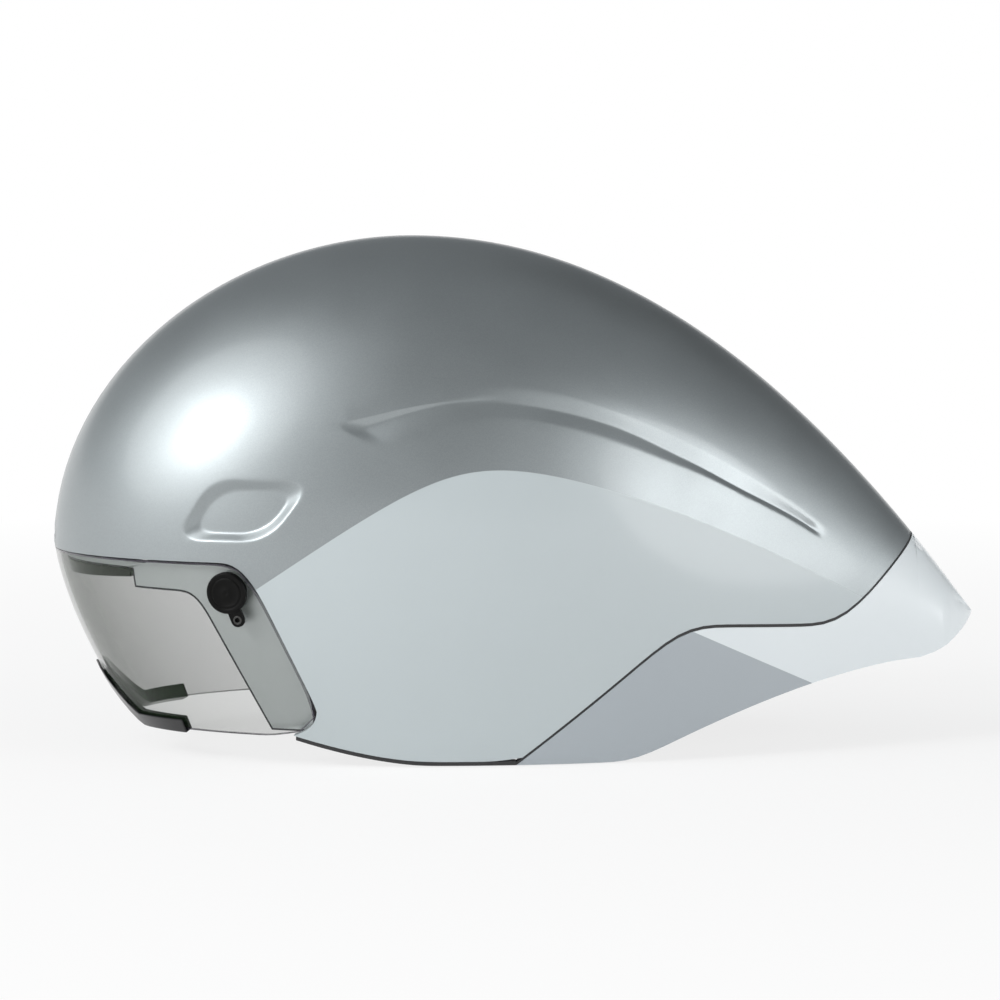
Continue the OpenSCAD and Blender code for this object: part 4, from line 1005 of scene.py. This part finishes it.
class HELMET_OT_weave_straps(bpy.types.Operator):
    """Weaves the strap's legs and the chin straps."""

    bl_idname = "helmet.weave_straps"
    bl_label = "Weave the straps"

    def execute(self, context):
        lining = context.scene.helmet_lining
        web = woven_webbing(lining)
        head_x = HEAD.x / MM
        routes = {
            "front_strap": [(head_x - 26, -78, 21), (head_x - 8, -82, 54), (head_x + 10.4, -80, 75.6)],
            "rear_strap": [(head_x + 55.5, -68, 23), (head_x + 40, -80, 56), (head_x + 26.8, -80, 75.6)],
            "chin_strap": [(head_x + 18.5, -80, 89), (head_x + 22, -73, 120), (head_x + 28, -57, 145),
                           (-24, -41, 160)],
        }
        for name, route in routes.items():
            path, outs = self.lay(route, to_buckle=name == "chin_strap")
            for label, side in (("left", 1), ("right", -1)):
                node = name + "_" + label
                middle = [mirrored(p - o * lining.web_thickness / 2, side) for p, o in zip(path, outs)]
                weave_strap(node + "_web", middle, [mirrored(o, side) for o in outs],
                            lining.web_width, lining.web_thickness, web, node)
        return {"FINISHED"}

    def lay(self, route, to_buckle):
        """The left strap's path just inside the cavity's wall, and the way out of its face at each point."""
        points = curve_through([Vector(p) * MM for p in route], 8)
        path = [on_head(p, 2.4 * MM) for p in points]
        if not to_buckle:
            return path, [head_out(p) for p in path]
        path += [Vector((-24, y, 156.5)) * MM for y in (-35, -32, -29, -24)]
        up = Vector((0, 0, 1))
        turns = [ease((46 + p.y / MM) / 12) for p in path]
        return path, [head_out(p).lerp(up, t).normalized() for p, t in zip(path, turns)]


class HELMET_OT_fit_buckle(bpy.types.Operator):
    """Finishes the buckle, its loops, the dividers, anchors and the strap keeper."""

    bl_idname = "helmet.fit_buckle"
    bl_label = "Fit the buckle"

    def execute(self, context):
        fittings = context.scene.helmet_fittings
        satin = moulded_nylon("buckle_acetal", fittings.nylon, 0.8 * fittings.grain, 0.38)
        for node in ("strap_anchors", "divider_left", "divider_right", "buckle_socket", "buckle_plug",
                     "strap_keeper"):
            dress_moulding(node, satin, fittings.edge)
        loops = rubber_matt("loop_webbing", context.scene.helmet_lining.webbing)
        for node in ("socket_loop", "plug_loop"):
            dress_moulding(node, loops, fittings.edge)
        return {"FINISHED"}


# Place and size of each lamp in metres, and its power in watts

LAMPS = {
    "key_lamp": ((-1.5, -0.88, 1.11), (0.5, 0.5), 13),
    "left_lamp": ((-1.45, -0.62, 1.2), (2.2, 2.0), 19),
    "right_lamp": ((1.68, -1.0, 0.6), (1.3, 1.2), 15.5),
}
LAMP_AIM = Vector((0, 0, 0.1))


class HELMET_OT_set_stage(bpy.types.Operator):
    """Sets the camera, the floor, the soft lights and the pale surroundings."""

    bl_idname = "helmet.set_stage"
    bl_label = "Set the stage"

    def execute(self, context):
        stage = context.scene.helmet_stage
        context.scene.view_settings.view_transform = "Standard"
        self.place_camera(context, stage)
        self.lay_floor(stage)
        self.light_world(context, stage)
        for name, lamp in LAMPS.items():
            self.hang_lamp(name, *lamp)
        return {"FINISHED"}

    def place_camera(self, context, stage):
        camera = bpy.data.cameras.new("camera")
        camera.sensor_width = 36
        camera.lens = camera.sensor_width * stage.distance / stage.width
        camera.clip_start = 0.01
        camera.clip_end = 100
        holder = bpy.data.objects.new("camera", camera)
        context.scene.collection.objects.link(holder)
        a, e = stage.azimuth, stage.elevation
        back = Vector((math.sin(a) * math.cos(e), -math.cos(a) * math.cos(e), math.sin(e)))
        holder.location = Vector(stage.aim) + back * stage.distance
        holder.rotation_euler = (-back).to_track_quat("-Z", "Y").to_euler()
        context.scene.camera = holder

    def lay_floor(self, stage):
        """A wide round floor, half a millimetre below the helmet."""
        mesh = bpy.data.meshes.new("floor")
        with OpenMesh(mesh) as shape:
            bmesh.ops.create_circle(shape, cap_ends=True, segments=96, radius=30)
        mesh.transform(Matrix.Translation((0, 0, -0.5 * MM)))
        floor = new_piece("floor", mesh)
        floor.data.materials.append(stage_paper(stage.floor, stage.glow))

    def light_world(self, context, stage):
        """Pale at the sides, dimmer above, and dark where the shells mirror the room before and behind."""
        world = bpy.data.worlds.new("surroundings")
        context.scene.world = world
        made = Finish.of_world(world)
        axes = made.axes(made.add("TexCoord").outputs["Generated"])
        height = made.sum("MULTIPLY_ADD", axes[1], 0.4, axes[2])
        height = made.sum("MULTIPLY_ADD", axes[0], 0.25, height)
        dim = made.between(height, 0.15, 0.8, interpolation_type="SMOOTHSTEP")
        above = made.between(axes[2], 0.1, 0.22, interpolation_type="SMOOTHSTEP")
        tone = made.blend(dim, stage.around, stage.ceiling)
        behind = made.sum("MULTIPLY", made.between(axes[0], 0.1, 0.4), made.between(axes[1], 0.3, 0.6))
        behind = made.sum("MULTIPLY", behind, made.between(axes[2], 0.3, 0.55, 0.5, 0.9))
        before = made.sum("MULTIPLY", made.between(axes[1], -0.3, -0.7), 0.5)
        tone = made.blend(made.sum("MAXIMUM", behind, before), tone, (0.02, 0.02, 0.02))
        made.put(made.tree.nodes["Background"], "Color", made.blend(above, (1, 1, 1), tone))

    def hang_lamp(self, name, place, size, power):
        lamp = bpy.data.lights.new(name, "AREA")
        lamp.shape = "ELLIPSE"
        lamp.size, lamp.size_y = size
        lamp.energy = power
        holder = bpy.data.objects.new(name, lamp)
        bpy.context.scene.collection.objects.link(holder)
        holder.location = place
        holder.rotation_euler = (LAMP_AIM - Vector(place)).to_track_quat("-Z", "Y").to_euler()


class HELMET_PT_panel(bpy.types.Panel):
    """Steps that dress the helmet, in the 3D view's sidebar."""

    bl_idname = "HELMET_PT_panel"
    bl_label = "Helmet"
    bl_space_type = "VIEW_3D"
    bl_region_type = "UI"
    bl_category = "Helmet"

    def draw(self, context):
        for step in STEPS:
            self.layout.operator(step.bl_idname)


GROUPS = {
    "helmet_paint": HelmetPaint,
    "helmet_visor": HelmetVisor,
    "helmet_fittings": HelmetFittings,
    "helmet_lining": HelmetLining,
    "helmet_stage": HelmetStage,
}
STEPS = (
    HELMET_OT_set_stage,
    HELMET_OT_lacquer_shell,
    HELMET_OT_dress_visor,
    HELMET_OT_fit_knobs,
    HELMET_OT_mould_liner,
    HELMET_OT_sew_pads,
    HELMET_OT_fit_cradle,
    HELMET_OT_weave_straps,
    HELMET_OT_fit_buckle,
)


def register():
    for made in (*GROUPS.values(), *STEPS, HELMET_PT_panel):
        bpy.utils.register_class(made)
    for name, group in GROUPS.items():
        setattr(bpy.types.Scene, name, PointerProperty(type=group))


def unregister():
    for name in GROUPS:
        delattr(bpy.types.Scene, name)
    for made in (HELMET_PT_panel, *reversed(STEPS), *reversed(GROUPS.values())):
        bpy.utils.unregister_class(made)


def main():
    register()
    for step in STEPS:
        group, action = step.bl_idname.split(".")
        getattr(getattr(bpy.ops, group), action)()


if __name__ == "__main__":
    main()
